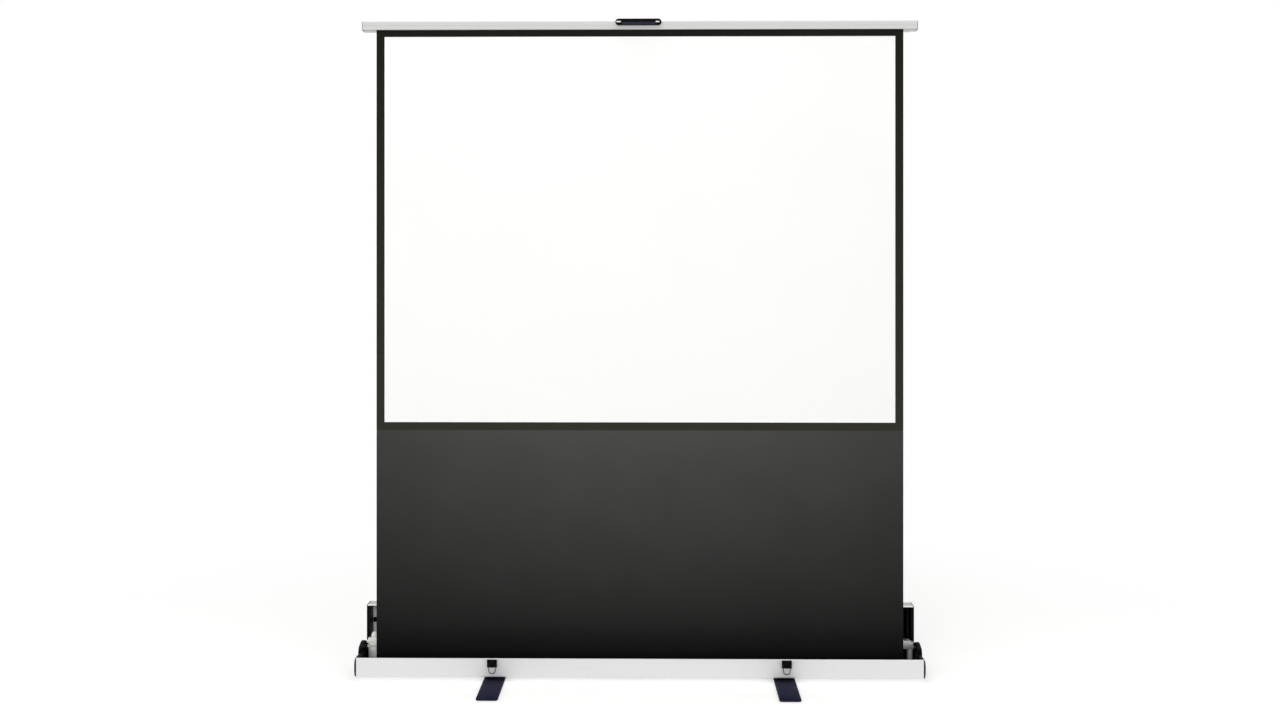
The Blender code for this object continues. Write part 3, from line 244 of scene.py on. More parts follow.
# Each surface has a colour of the settings, its grain's size along x, y and z, the grain's height, how far the grain
# shifts the colour, the roughness between which it varies, how metallic it is, the size of its clouds, and other
# sockets. Lengths are in metres.
SURFACES = {
    # The milky oxide layer scatters part of the light, so it is not all metal to the eye: satin, with faint die lines
    # along its length. Real ones are about 0.3 mm apart, too fine to show, so they are drawn 2 mm wide, 0.4 m long.
    "anodised extruded aluminium, case": ("case", (0.4, 0.002, 0.002), 4e-6, 0.025, (0.68, 0.76), 0.6, 0.3, {}),
    "anodised extruded aluminium, bar": ("bar", (0.4, 0.002, 0.002), 4e-6, 0.025, (0.68, 0.76), 0.6, 0.3, {}),
    # The lid, dulled and mottled by carrying in patches of 12 mm.
    "scuffed anodised aluminium": ("lid", (0.02, 0.006, 0.006), 2e-5, 0.12, (0.42, 0.6), 1, 0.012, {}),
    # The lid's rim, with a painted highlight along its edge: fine lines along the edge.
    "anodised aluminium worn bright": ("rim", (0.15, 0.002, 0.002), 4e-6, 0.05, (0.4, 0.5), 1, 0.03, {}),
    # Bright flat bar, with streaks along it.
    "drawn aluminium bar": ("arms", (0.25, 0.0015, 0.0015), 6e-6, 0.05, (0.26, 0.38), 1, 0.12, {}),
    # Blasted die casting: a pebbled skin with dull patches, the pebbles drawn twice as wide to show.
    "blasted cast aluminium": ("arms", (0.0016,) * 3, 3e-5, 0.06, (0.42, 0.56), 1, 0.02, {}),
    # Tube and hinge leaves, with fine lines along their length.
    "mill finish aluminium": ("arms", (0.2, 0.0012, 0.0012), 5e-6, 0.05, (0.32, 0.42), 1, 0.1, {}),
    # A bright, slightly cloudy, cool grey plate.
    "zinc plated steel": ("steel", (0.003,) * 3, 4e-6, 0.08, (0.22, 0.34), 1, 0.008, {}),
    # A bright mirror with faint wiping marks.
    "polished chromed steel": ("chrome", (0.006, 0.0006, 0.0006), 1e-6, 0.02, (0.08, 0.14), 1, 0.01, {}),
    # Wire with a dark oiled oxide skin, which stands out as a line against the case.
    "black oxide steel": ("oxide", (0.002,) * 3, 4e-6, 0.2, (0.35, 0.45), 1, 0.01, {}),
    # The feet, moulded with a matt texture, with the case's shadow painted on near the case.
    "dusty navy moulded ABS": ("navy", (0.001,) * 3, 2e-5, 0.14, (0.5, 0.62), 0, 0.03, resin(1.5, 0.1)),
    # The pull handle's lip: lighter navy than the black grip, painted light on the handle's lower half.
    "rubbed navy moulded ABS": ("lip", (0.001,) * 3, 2e-5, 0.14, (0.45, 0.55), 0, 0.03, resin(1.5, 0.12)),
    # The base's end caps, moulded smooth: pale glints on their round edges.
    "smooth black moulded ABS": ("caps", (0.004,) * 3, 1e-5, 0.3, (0.3, 0.38), 0, 0.012, resin(1.5, 0.22)),
    # The ears, moulded with a fine matt texture: they stay black beside the bright case.
    "matt black moulded ABS": ("caps", (0.0012,) * 3, 1e-5, 0.3, (0.45, 0.55), 0, 0.012, resin(1.5, 0.06)),
    # Latches, handles and lid ends: nearly no reflection from the front.
    "black moulded ABS": ("black", (0.001,) * 3, 2e-5, 0.2, (0.42, 0.55), 0, 0.02, resin(1.5, 0.1)),
    # The top bar's caps: a matt skin beside the bright bar.
    "grey moulded ABS": ("cap", (0.0012,) * 3, 2e-5, 0.06, (0.42, 0.52), 0, 0.02, resin(1.5)),
    # A slightly waxy skin with faint flow marks.
    "off-white moulded nylon": ("plate", (0.003,) * 3, 1e-5, 0.02, (0.35, 0.45), 0, 0.01, resin(1.53, 0.4)),
    # The inside of the base, black as painted shade: dull, with slow clouds.
    "matt black paint": ("paint", (0.0016,) * 3, 1e-5, 0.25, (0.7, 0.8), 0, 0.05, resin(1.5, 0.1)),
    # Lacquer filled with aluminium flakes on a cast post: half mirror, half matt, so it rounds off softly.
    "aluminium flake lacquer": ("lacquer", (0.0012,) * 3, 1e-5, 0.05, (0.4, 0.5), 0.5, 0.02, resin(1.5)),
    # Satin, with a faint orange peel of 1.6 mm.
    "pale powder coat on cast aluminium": ("coat", (0.0016,) * 3, 3e-5, 0.04, (0.38, 0.5), 0, 0.015, resin(1.5)),
    # Satin, with a faint roller texture of 2 mm.
    "pale grey baked enamel": ("inside", (0.002,) * 3, 1e-5, 0.03, (0.4, 0.5), 0, 0.05, resin(1.5, 0.4)),
    # Pores of 1.2 mm, which swallow the light.
    "black open cell foam": ("foam", (0.0012,) * 3, 4e-4, 0.3, (0.9, 0.97), 0, 0.01, resin(1.4, 0.1)),
    # Dull and slightly mottled.
    "black moulded rubber": ("rubber", (0.0014,) * 3, 5e-5, 0.2, (0.7, 0.85), 0, 0.015, resin(1.52, 0.3)),
    # The turns left on the roller: flat black, with a grain as coarse as the drop's weave.
    "black coated cloth on the roller": (
        "drop_low", (0.0024,) * 3, 4e-5, 0.12, (0.7, 0.8), 0, 0.12, resin(1.45, 0.15),
    ),
}


def surface(name, turn=0):
    """Material of a surface in the table: its grain lies over slow clouds of wear.

    turn leans the grain in degrees about the depth axis, and the material's name then says to which side.
    """
    full = name + (" leaning right" if turn < 0 else " leaning left" if turn else "")
    found = bpy.data.materials.get(full)
    if found:
        return found
    shade, grain, relief, spread, roughness, metallic, cloud, sockets = SURFACES[name]
    dark, light = ((*(min(1, part * lift) for part in colour(shade)[:3]), 1) for lift in (1 - spread, 1 + spread))
    material = blank(bpy.data.materials.new(full))
    place = add(material, "TexCoord", {}, "Object")
    lean = (0, math.radians(turn), 0)
    fitted = add(material, "Mapping", {"Vector": place, "Scale": grain, "Rotation": lean}, vector_type="TEXTURE")
    fine = add(material, "TexNoise", {"Vector": fitted, "Scale": 1, "Detail": 3})
    slow = add(material, "TexNoise", {"Vector": place, "Scale": 1 / cloud, "Detail": 2})
    # A third of the pattern is clouds. Noise lies mostly between 0.3 and 0.7, which is stretched to 0 and 1.
    both = add(material, "Mix", {"Factor": 0.35, "A": fine, "B": slow})
    share = add(material, "MapRange", {"Value": both, "From Min": 0.3, "From Max": 0.7})
    inputs = {
        "Base Color": add(material, "Mix", {0: share, 6: dark, 7: light}, 2, data_type="RGBA"),
        "Roughness": add(material, "MapRange", {"Value": share, "To Min": roughness[0], "To Max": roughness[1]}),
        "Normal": add(material, "Bump", {"Height": fine, "Strength": 1, "Distance": relief}),
        "Metallic": metallic,
    }
    shader = add(material, "BsdfPrincipled", {**inputs, **sockets})
    add(material, "OutputMaterial", {"Surface": shader})
    return material


def case_shaded_foot_plastic():
    """The feet's ABS with painted shade: dark near the case as the case's painted shadow, and lighter where they
    stick out past it.

    The lighter tone's share rises over 60 mm from near the case's face and falls again over the last 50 mm before the
    tip.
    """
    material = surface("dusty navy moulded ABS")
    tint = material.node_tree.nodes["Principled BSDF"].inputs["Base Color"]
    place = add(material, "TexCoord", {}, "Object")
    depth = add(material, "SeparateXYZ", {"Vector": place}, "Y")
    reach = add(material, "Math", {0: depth}, operation="ABSOLUTE")
    face, tip = high("base_tray")[1], high("foot_left")[1]
    parts = [
        add(material, "MapRange", {"Value": reach, **ends}, interpolation_type="SMOOTHSTEP")
        for ends in (
            {"From Min": face + 0.015, "From Max": face + 0.075},
            {"From Min": tip - 0.05, "From Max": tip, "To Min": 1, "To Max": 0.55},
        )
    ]
    # Painted shade: 0 keeps the dark navy of the case's painted shadow, 1 gives the lighter navy.
    share = add(material, "Math", dict(enumerate(parts)), operation="MULTIPLY")
    mixed = {0: share, 6: tint.links[0].from_socket, 7: colour("dust")}
    material.node_tree.links.new(add(material, "Mix", mixed, 2, data_type="RGBA"), tint)
    return material


def woven(name, width, length, thread, relief, tint, roughness, sockets):
    """Cloth with crossed threads on its own UV map, which spans width by length in metres.

    The height of the cloth is the product of two sine waves, one thread apart, so it follows the folds. tint makes
    the colour's socket from the material and the flat place on the cloth.
    """
    material = blank(bpy.data.materials.new(name))
    flat = add(material, "TexCoord", {}, "UV")
    metres = add(material, "Mapping", {"Vector": flat, "Scale": (width, length, 1)})
    # A Wave texture repeats 20 / (2 pi) times for each unit of its scale.
    wave = {"Vector": metres, "Scale": 2 * math.pi / (20 * thread), "Distortion": 0.4, "Detail": 1}
    waves = [add(material, "TexWave", wave, "Fac", wave_type="BANDS", bands_direction=way) for way in ("X", "Y")]
    weave = add(material, "Math", dict(enumerate(waves)), operation="MULTIPLY")
    inputs = {
        "Base Color": tint(material, metres, weave),
        "Normal": add(material, "Bump", {"Height": weave, "Strength": 1, "Distance": relief}),
        "Roughness": roughness,
    }
    shader = add(material, "BsdfPrincipled", {**inputs, **sockets})
    add(material, "OutputMaterial", {"Surface": shader})
    return material


def uneven(material, metres, weave, spread, patch):
    """Factor about 1 that varies by spread in soft patches and a little with the weave."""
    noise = add(material, "TexNoise", {"Vector": metres, "Scale": 1 / patch, "Detail": 3})
    mixed = add(material, "Mix", {"Factor": 0.3, "A": noise, "B": weave})
    ends = {"From Min": 0.25, "From Max": 0.75, "To Min": 1 - spread, "To Max": 1 + spread}
    return add(material, "MapRange", {"Value": mixed, **ends})


def white_cloth(width, length):
    """Matt white vinyl on woven glass: very even, with a faint weave.

    The threads are 0.5 mm apart, drawn 2 mm so that they show close up.
    """

    def tint(material, metres, weave):
        lift = uneven(material, metres, weave, 0.012, 0.35)
        return add(material, "VectorMath", {0: colour("picture")[:3], "Scale": lift}, operation="SCALE")

    sheen = {"Sheen Weight": 0.05, "Sheen Roughness": 0.5}
    return woven("matt white screen cloth", width, length, 0.002, 2e-5, tint, 0.85, {**resin(1.45, 0.2), **sheen})


def border_cloth(width, length):
    """Black ink printed on the white cloth, with the cloth's weave: darker at the top bar and lighter towards the
    seam.
    """

    def tint(material, metres, weave):
        height = add(material, "SeparateXYZ", {"Vector": metres}, "Y")
        rise = add(material, "MapRange", {"Value": height, "From Max": length})
        ends = {6: colour("border_low"), 7: colour("border")}
        shade = add(material, "Mix", {0: rise, **ends}, 2, data_type="RGBA")
        lift = uneven(material, metres, weave, 0.1, 0.12)
        return add(material, "VectorMath", {0: shade, "Scale": lift}, operation="SCALE")

    return woven("black printed border", width, length, 0.002, 3e-5, tint, 0.7, resin(1.45, 0.12))


def black_cloth(width, length):
    """Black coated cloth with a painted sheen: grey near the picture and falling to black near the roller.

    The threads are 0.6 mm apart, drawn 2.4 mm.
    """

    def tint(material, metres, weave):
        across = add(material, "SeparateXYZ", {"Vector": metres}, "X")
        height = across.node.outputs["Y"]
        # Painted sheen: grey at the top, falling to black at the case.
        rise = add(material, "MapRange", {"Value": height, "From Max": length})
        rise = add(material, "Math", {0: rise, 1: 0.85}, operation="POWER")
        ends = {6: colour("drop_low"), 7: colour("drop_top")}
        shade = add(material, "Mix", {0: rise, **ends}, 2, data_type="RGBA")
        # Painted shade: darker towards both selvedges: 1 - 0.26 (2 across - 1)^2.
        side = add(material, "MapRange", {"Value": across, "From Max": width, "To Min": -1, "To Max": 1})
        side = add(material, "Math", {0: side, 1: side}, operation="MULTIPLY")
        lift = add(material, "MapRange", {"Value": side, "To Min": 1, "To Max": 0.74})
        # Painted shade of the case: the lowest 0.15 m falls to 0.72 of its light.
        ends = {"From Min": 0.066, "From Max": 0.156, "To Min": 0.72, "To Max": 1}
        foot = add(material, "MapRange", {"Value": height, **ends}, interpolation_type="SMOOTHSTEP")
        for factor in (foot, uneven(material, metres, weave, 0.08, 0.17)):
            lift = add(material, "Math", {0: lift, 1: factor}, operation="MULTIPLY")
        return add(material, "VectorMath", {0: shade, "Scale": lift}, operation="SCALE")

    return woven("black coated cloth", width, length, 0.0024, 4e-5, tint, 0.75, resin(1.45, 0.08))


# Shapes


def signed(outline):
    """Twice the outline's area, negative when it runs clockwise."""
    ahead = np.roll(outline, -1, 0)
    return (outline[:, 0] * ahead[:, 1] - ahead[:, 0] * outline[:, 1]).sum()


def rounded(corners, steps=6):
    """Closed outline through corners (u, v, radius).

    Each corner is cut back by radius / tan(half its angle) on both sides and bridged by an arc of that radius.
    """
    corners = np.array(corners, float)
    here, radius = corners[:, :2], corners[:, 2]
    before, after = (np.roll(here, way, 0) - here for way in (1, -1))
    before /= np.linalg.norm(before, axis=1)[:, None]
    after /= np.linalg.norm(after, axis=1)[:, None]
    half = np.arccos(np.clip((before * after).sum(1), -1, 1)) / 2
    middle = before + after
    middle /= np.linalg.norm(middle, axis=1)[:, None]
    centre = here + middle * (radius / np.sin(half))[:, None]
    cut = (radius / np.tan(half))[:, None]
    start, end = here + before * cut - centre, here + after * cut - centre
    first = np.arctan2(start[:, 1], start[:, 0])
    sweep = np.arctan2(end[:, 1], end[:, 0]) - first
    sweep = (sweep + np.pi) % (2 * np.pi) - np.pi
    angle = first[:, None] + sweep[:, None] * np.linspace(0, 1, steps + 1)
    arcs = centre[:, None] + radius[:, None, None] * np.stack([np.cos(angle), np.sin(angle)], -1)
    outline = arcs.reshape(-1, 2)
    outline = outline[np.linalg.norm(outline - np.roll(outline, 1, 0), axis=1) > WELD]
    return outline if signed(outline) > 0 else outline[::-1]


def refined(outline, step):
    """The same outline with points no further apart than a step."""
    ahead = np.roll(outline, -1, 0)
    counts = np.ceil(np.linalg.norm(ahead - outline, axis=1) / step).astype(int).clip(1)
    start = np.repeat(np.arange(len(outline)), counts)
    share = (np.arange(counts.sum()) - np.repeat(np.cumsum(counts) - counts, counts)) / np.repeat(counts, counts)
    return outline[start] + share[:, None] * (ahead - outline)[start]


def box_outline(low_u, high_u, low_v, high_v, radius, steps=6):
    """Rectangle with round corners."""
    corners = ((low_u, low_v), (high_u, low_v), (high_u, high_v), (low_u, high_v))
    return rounded([(u, v, radius) for u, v in corners], steps)


def ring_faces(rows, columns, cyclic=False):
    """Quads between rows of closed rings, and from the last row to the first when cyclic."""
    row = np.arange(rows if cyclic else rows - 1)[:, None]
    column = np.arange(columns)[None, :]
    following = (column + 1) % columns
    above = (row + 1) % rows
    row, above = row * columns, above * columns
    return np.stack([row + column, row + following, above + following, above + column], -1).reshape(-1, 4).tolist()


def caps(rows, columns):
    """The two faces that close the first and the last ring."""
    last = (rows - 1) * columns
    return [list(range(columns))[::-1], list(range(last, last + columns))]


def slab(outline, start, end, edge, axis, steps=5):
    """Plate between two levels along an axis, its rims rounded by quarter circles of the edge radius.

    Ring k is the outline moved inwards by edge (1 - sin t) at edge (1 - cos t) above the lower level, and the same
    below the upper level. A point moves along the mean of its two edges' normals, lengthened to keep them parallel.
    """
    ahead = np.roll(outline, -1, 0) - outline
    ahead /= np.linalg.norm(ahead, axis=1)[:, None]
    normal = np.stack([ahead[:, 1], -ahead[:, 0]], 1)
    other = np.roll(normal, 1, 0)
    outward = (normal + other) / (1 + (normal * other).sum(1))[:, None]
    turn = np.linspace(0, np.pi / 2, steps + 1)
    inset, rise = edge * (1 - np.sin(turn)), edge * (1 - np.cos(turn))
    inset = np.concatenate([inset, inset[::-1]])
    level = np.concatenate([start + rise, end - rise[::-1]])
    flat = outline[None] - inset[:, None, None] * outward[None]
    rings = np.concatenate([flat, np.broadcast_to(level[:, None, None], (*flat.shape[:2], 1))], -1)
    rows, columns = flat.shape[:2]
    return rings[..., AXES[axis]].reshape(-1, 3), [*ring_faces(rows, columns), *caps(rows, columns)]


def tube(path, radius, across, sides=16, cyclic=False):
    """Round rod along a flat path: circles of the radius about each point, square to the path.

    across is the direction square to the path's plane.
    """
    path, across = np.array(path, float), np.array(across, float)
    ahead = np.roll(path, -1, 0) - np.roll(path, 1, 0) if cyclic else np.gradient(path, axis=0)
    ahead /= np.linalg.norm(ahead, axis=1)[:, None]
    side = np.cross(across, ahead)
    angle = np.linspace(0, 2 * np.pi, sides, endpoint=False)[None, :, None]
    reach = np.broadcast_to(np.array(radius, float), len(path))[:, None, None]
    rings = path[:, None] + reach * (np.cos(angle) * side[:, None] + np.sin(angle) * across)
    ends = [] if cyclic else caps(len(path), sides)
    return rings.reshape(-1, 3), [*ring_faces(len(path), sides, cyclic), *ends]


def turned(profile, axis, sides=20):
    """Solid of revolution from (radius, height) points that begin and end on its axis."""
    profile = np.array(profile, float)
    angle = np.linspace(0, 2 * np.pi, sides, endpoint=False)
    u = profile[:, :1] * np.cos(angle)
    v = profile[:, :1] * np.sin(angle)
    w = np.broadcast_to(profile[:, 1:], u.shape)
    return np.stack([u, v, w], -1)[..., AXES[axis]].reshape(-1, 3), ring_faces(len(profile), sides)


def repeated(shape, places):
    """The same small shape at each of the places."""
    points, faces = shape
    places, faces = np.array(places, float), np.array(faces)
    every = (points[None] + places[:, None]).reshape(-1, 3)
    offset = (np.arange(len(places)) * len(points))[:, None, None]
    return every, (faces[None] + offset).reshape(-1, faces.shape[1]).tolist()


def rivet(radius, rise, axis, sign, recess=0.45):
    """Domed head with a small dished recess in its middle.

    The dome's height at radius r is rise sqrt(1 - (r / radius)^4). The recess has a flat floor at 0.45 of the rise,
    and the head's underside is sunk below its seat.
    """
    sunk = -rise * 0.2
    r = radius * np.array([0, recess * 0.7, recess, 0.62, 0.78, 0.9, 0.97, 1, 1])
    h = rise * np.sqrt(np.clip(1 - (r / radius) ** 4, 0, 1))
    h[:2] = rise * 0.45
    h[-1] = sunk
    profile = np.stack([r, sign * h], 1)
    return turned(np.concatenate([profile, [[0, sign * sunk]]]), axis, 16)


def joined(*shapes):
    """Several shapes as one."""
    points, faces, offset = [], [], 0
    for some_points, some_faces in shapes:
        points.append(some_points)
        faces += [[index + offset for index in face] for face in some_faces]
        offset += len(some_points)
    return np.concatenate(points), faces


def new_piece(name, shape, finish, body, replaces=(), smooth=SMOOTH_ANGLE):
    """Object from points and faces, its doubles merged and its faces outwards, riding on a CAD body."""
    points, faces = shape
    mesh = bpy.data.meshes.new(name)
    mesh.from_pydata(np.asarray(points).tolist(), [], faces)
    work = bmesh.new()
    work.from_mesh(mesh)
    bmesh.ops.remove_doubles(work, verts=work.verts, dist=WELD)
    bmesh.ops.recalc_face_normals(work, faces=work.faces)
    work.to_mesh(mesh)
    work.free()
    return carried(name, mesh, finish, body, replaces, smooth)


def carried(name, mesh, finish, body, replaces, smooth=SMOOTH_ANGLE):
    """Object of a mesh with one or more surfaces or materials, riding on a CAD body."""
    mesh.materials.clear()
    for material in finish if isinstance(finish, (list, tuple)) else [finish]:
        mesh.materials.append(surface(material) if isinstance(material, str) else material)
    mesh.shade_smooth()
    mesh.set_sharp_from_angle(angle=math.radians(smooth))
    piece = bpy.data.objects.new(name, mesh)
    bpy.context.scene.collection.objects.link(piece)
    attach(piece, body)
    if replaces:
        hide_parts(*replaces)
    return piece


def softened(node, finish, width):
    """Copy of a CAD node with its doubles merged, its flat faces joined and its sharp edges rounded."""
    source = frame["nodes"][node]
    work = bmesh.new()
    work.from_mesh(source.data)
    bmesh.ops.remove_doubles(work, verts=work.verts, dist=10 * WELD)
    bmesh.ops.dissolve_limit(work, angle_limit=math.radians(1), verts=work.verts, edges=work.edges)
    mesh = bpy.data.meshes.new(f"{node}_rounded")
    work.to_mesh(mesh)
    work.free()
    piece = carried(f"{node}_rounded", mesh, finish, source["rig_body"], (node,))
    bevel = piece.modifiers.new("Edges", "BEVEL")
    bevel.width = width
    bevel.segments = 3
    bevel.limit_method = "ANGLE"
    bevel.angle_limit = math.radians(SMOOTH_ANGLE)
    bevel.harden_normals = True
    return piece


def finish_nodes(names, finish):
    """Give CAD nodes a surface in place of their own."""
    for name in names:
        slots = frame["nodes"][name].data.materials
        slots.clear()
        slots.append(surface(finish))


# Pieces


def case_section():
    """Section of the case's two halves as (across, up), open at the top with its lips turned in.

    Its outside is set back below a bead that runs along the rim.
    """
    bottom, top = box("base_tray")
    half, height = (top[1] - bottom[1]) / 2, top[2] - bottom[2]
    step, bead = size("bead_step"), size("bead")
    wall, lip, corner = 0.002, LIP, 0.006
    side = half - step
    right = [
        (side, 0, corner), (side, height - bead - step, 0.0003), (half, height - bead, 0.0003),
        (half, height, 0.0014), (half - lip, height, 0.0005), (half - lip, height - wall, 0.0005),
        (side - wall, height - wall, 0.0008), (side - wall, wall, corner - wall),
    ]
    left = [(-across, up, radius) for across, up, radius in reversed(right)]
    return rounded([*right, *left])


class SCREEN_OT_case(bpy.types.Operator):
    """Base and lid extrusions, their end plates, pads, hinge rivets and screws"""

    bl_idname = "screen.case"
    bl_label = "Case"

    def execute(self, context):
        section = case_section()
        base_low, base_high = box("base_tray")
        base = section + np.array([(base_low[1] + base_high[1]) / 2, base_low[2]])
        piece = new_piece(
            "base_extrusion", slab(base, base_low[0] - END, base_high[0] + END, CUT, "X", 1),
            ["anodised extruded aluminium, case", "matt black paint"], "case", ("base_tray",),
        )
        middle, faces, across = face_places(piece)
        _, y, z = middle.T
        # The floor's inner face lies 2 mm up, and the walls' inner faces 2.6 mm in.
        floor = WALL * 0.8
        # The inside takes black, a painted shade of the base's deep inside.
        inside = (z > base_low[2] + floor) & (z < base_high[2] - floor) & (np.abs(y) < base_high[1] - WALL) & ~across
        faces.foreach_set("material_index", inside.astype(np.int32))
        piece.data.update()
        self.lid(section)
        for side, sign in SIDES:
            self.cap(f"base_cap_{side}", sign)
            self.lid_end(f"lid_end_{side}", sign)
            self.pad(f"lid_pad_{side}")
        self.screws()
        self.hinge()
        return {"FINISHED"}

    def lid(self, section):
        """The same section lying on its side, carried over the inner part of its end plates.

        Its outside is scuffed, its rim carries a painted highlight and its inside is enamelled.
        """
        bottom, top = box("lid_shell")
        outline = np.stack([top[1] - section[:, 1], (bottom[2] + top[2]) / 2 + section[:, 0]], 1)
        reach = high("lid_end_right")[0] - PLATE
        piece = new_piece(
            "lid_extrusion",
            slab(outline[::-1] if signed(outline) < 0 else outline, -reach, reach, CUT, "X", 1),
            ["scuffed anodised aluminium", "pale grey baked enamel", "anodised aluminium worn bright"], "lid",
            ("lid_shell",),
        )
        middle, faces, across = face_places(piece)
        _, y, z = middle.T
        # Along y the inside starts behind the lips' front faces and ends before the back's outer face.
        inside = (z > bottom[2] + WALL) & (z < top[2] - WALL) & ~across
        inside &= (y > bottom[1] + 0.0008) & (y < top[1] - 0.0015)
        # The rim's faces take the painted highlight.
        rim = (y < bottom[1] + size("bead") + 0.0015) & ~inside & ~across
        faces.foreach_set("material_index", np.where(inside, 1, np.where(rim, 2, 0)).astype(np.int32))
        piece.data.update()

    def lid_end(self, node, sign):
        """End plate of the lid: a thin outer plate, and a plug that fills the extrusion's end."""
        bottom, top = box(node)
        outer = (top if sign > 0 else bottom)[0]
        inner = (bottom if sign > 0 else top)[0]
        inset = 0.0029
        plate = box_outline(bottom[1], top[1], bottom[2], top[2], 0.006)
        plug = box_outline(bottom[1] + 0.0004, top[1] - inset, bottom[2] + inset, top[2] - inset, 0.003)
        new_piece(
            f"{node}_plugged",
            joined(
                slab(plate, *sorted((outer, outer - sign * PLATE)), size("edge"), "X", 3),
                slab(plug, *sorted((outer - sign * PLATE / 2, inner)), size("edge"), "X", 3),
            ),
            "black moulded ABS", "lid", (node,),
        )

    def cap(self, node, sign):
        """End cap of the base: a bulged face, and a rounded ear that stands up beside the open lid.

        At the height share u and the depth share v, each 1 at the rim, the face bulges by (1 - u^2.4)^(1/2.4)
        times (1 - v^16)^(1/16), over a thin flat rim.
        """
        bottom, top = box(node)
        tray_low, tray_high = box("base_tray")
        half_y, half_z = (tray_high[1] - tray_low[1]) / 2, (tray_high[2] - tray_low[2]) / 2
        middle_y, middle_z = (tray_high[1] + tray_low[1]) / 2, (tray_high[2] + tray_low[2]) / 2
        corners = [
            (-half_y, -half_z, 0.006), (half_y, -half_z, 0.006), (half_y, half_z, 0.002),
            (-half_y, half_z, 0.002),
        ]
        outline = refined(rounded(corners), 0.004)
        inner = tray_high[0] + END + 0.0003
        outer = max(abs(bottom[0]), abs(top[0])) + BULGE
        rise = outer - inner
        share = np.sin(np.linspace(np.pi / 2, 0, 15))[:, None, None]
        flat = share * outline[None]
        bulge = (1 - np.abs(flat[..., 1] / half_z) ** 2.4).clip(0) ** (1 / 2.4)
        bulge = bulge * (1 - np.abs(flat[..., 0] / half_y) ** 16).clip(0) ** (1 / 16)
        out = inner + rise * (0.1 + 0.9 * bulge)
        flat = np.concatenate([flat[:1], flat])
        out = np.concatenate([np.full((1, len(outline)), inner), out])
        points = np.stack([sign * out, flat[..., 0] + middle_y, flat[..., 1] + middle_z], -1).reshape(-1, 3)
        dome = (points, [*ring_faces(len(out), len(outline)), list(range(len(outline)))])
        back, front, head, rim = top[1], bottom[1] + 0.059, top[2], tray_high[2]
        crown = tray_high[1] - 0.012
        ear = [
            (back, rim + 0.013, 0.005), (crown, head, 0.012), (crown - 0.018, head, 0.012),
            (crown - 0.050, head - 0.0095, 0.010), (front + 0.001, rim + 0.0003, 0.0024),
            (back, rim + 0.0003, 0.003),
        ]
        # The ear also reaches inwards over the rim, and its root runs down outside the base's end.
        root = [
            (front, rim + 0.0004, 0.0015), (front + 0.010, rim + 0.004, 0.002),
            (back - 0.0006, rim + 0.004, 0.001), (back - 0.0006, rim - 0.006, 0.003),
            (front, rim - 0.006, 0.0024),
        ]
        sides = sorted((sign * inner, sign * (outer - 0.0006)))
        heads = sorted((sign * (tray_high[0] - 0.0032), sign * (outer - 0.0002)))
        # A plug fills the extrusion's open end up to its rim, and a saddle over the rim joins it to the ear.
        wide, narrow, under = half_y - 0.003, half_y - LIP - 0.0003, rim - 0.0025
        plug = [
            (-wide, bottom[2] + 0.003, 0.004), (wide, bottom[2] + 0.003, 0.004), (wide, under, 0.0004),
            (narrow, under, 0.0002), (narrow, rim + 0.0005, 0.0004), (-narrow, rim + 0.0005, 0.0004),
            (-narrow, under, 0.0002), (-wide, under, 0.0004),
        ]
        saddle = box_outline(half_y - 0.030, half_y + 0.0005, rim + 0.0003, rim + 0.005, 0.0015)
        plugs = sorted((sign * (tray_high[0] - 0.0087), sign * (inner + 0.0005)))
        new_piece(f"{node}_bulged", dome, "smooth black moulded ABS", "case", (node,))
        new_piece(
            f"{node}_ear",
            joined(
                slab(rounded(root), *sides, 0.001, "X", 3), slab(rounded(ear, 8), *heads, 0.0016, "X", 5),
                slab(rounded(plug), *plugs, 0.0003, "X", 2), slab(saddle, *plugs, 0.001, "X", 3),
            ),
            "matt black moulded ABS", "case",
        )

    def pad(self, node):
        """Foam pad with pillowed edges."""
        bottom, top = box(node)
        outline = box_outline(bottom[0], top[0], bottom[2], top[2], 0.003)
        points, faces = slab(outline, bottom[1], top[1], 0.0012, "Y", 4)
        piece = new_piece(f"{node}_foam", (points, faces), "black open cell foam", "lid", (node,))

    def screws(self):
        """Screws in the end caps and the lid's end plates."""
        for node, body, name in (("base_cap", "case", "base_end_screws"), ("lid_end", "lid", "lid_end_screws")):
            shapes = []
            for side, sign in SIDES:
                bottom, top = box(f"{node}_{side}")
                face = (top if sign > 0 else bottom)[0]
                if node == "base_cap":
                    height = (low("base_tray")[2] + high("base_tray")[2]) / 2
                    places = [(face, across, height) for across in (-0.048, 0.048)]
                else:
                    depth = (bottom[1] + top[1]) / 2
                    places = [(face, depth, level) for level in (bottom[2] + 0.018, top[2] - 0.018)]
                shapes.append(repeated(rivet(0.0042, 0.0016, "X", sign), places))
            new_piece(name, joined(*shapes), "zinc plated steel", body)

    def hinge(self):
        """Hinge leaves, their pin, and a row of rivets along each leaf."""
        finish_nodes(("hinge_leaf_base", "hinge_leaf_lid"), "mill finish aluminium")
        finish_nodes(("hinge_pin",), "zinc plated steel")
        reach = high("hinge_leaf_base")[0] - 0.05
        # The base's leaf stands just behind the tray, and the lid's just below the lid.
        behind = (high("base_tray")[1] + 0.0015, low("hinge_leaf_base")[2] + 0.008)
        below = (high("hinge_leaf_lid")[1] - 0.008, low("lid_shell")[2] - 0.0015)
        for body, (y, z), axis, sign in (("base", behind, "Y", 1), ("lid", below, "Z", -1)):
            places = [(x, y, z) for x in np.linspace(-reach, reach, 15)]
            rivets = repeated(rivet(0.0032, 0.0012, axis, sign), places)
            carrier = "case" if body == "base" else body
            new_piece(f"hinge_rivets_{body}", rivets, "zinc plated steel", carrier)


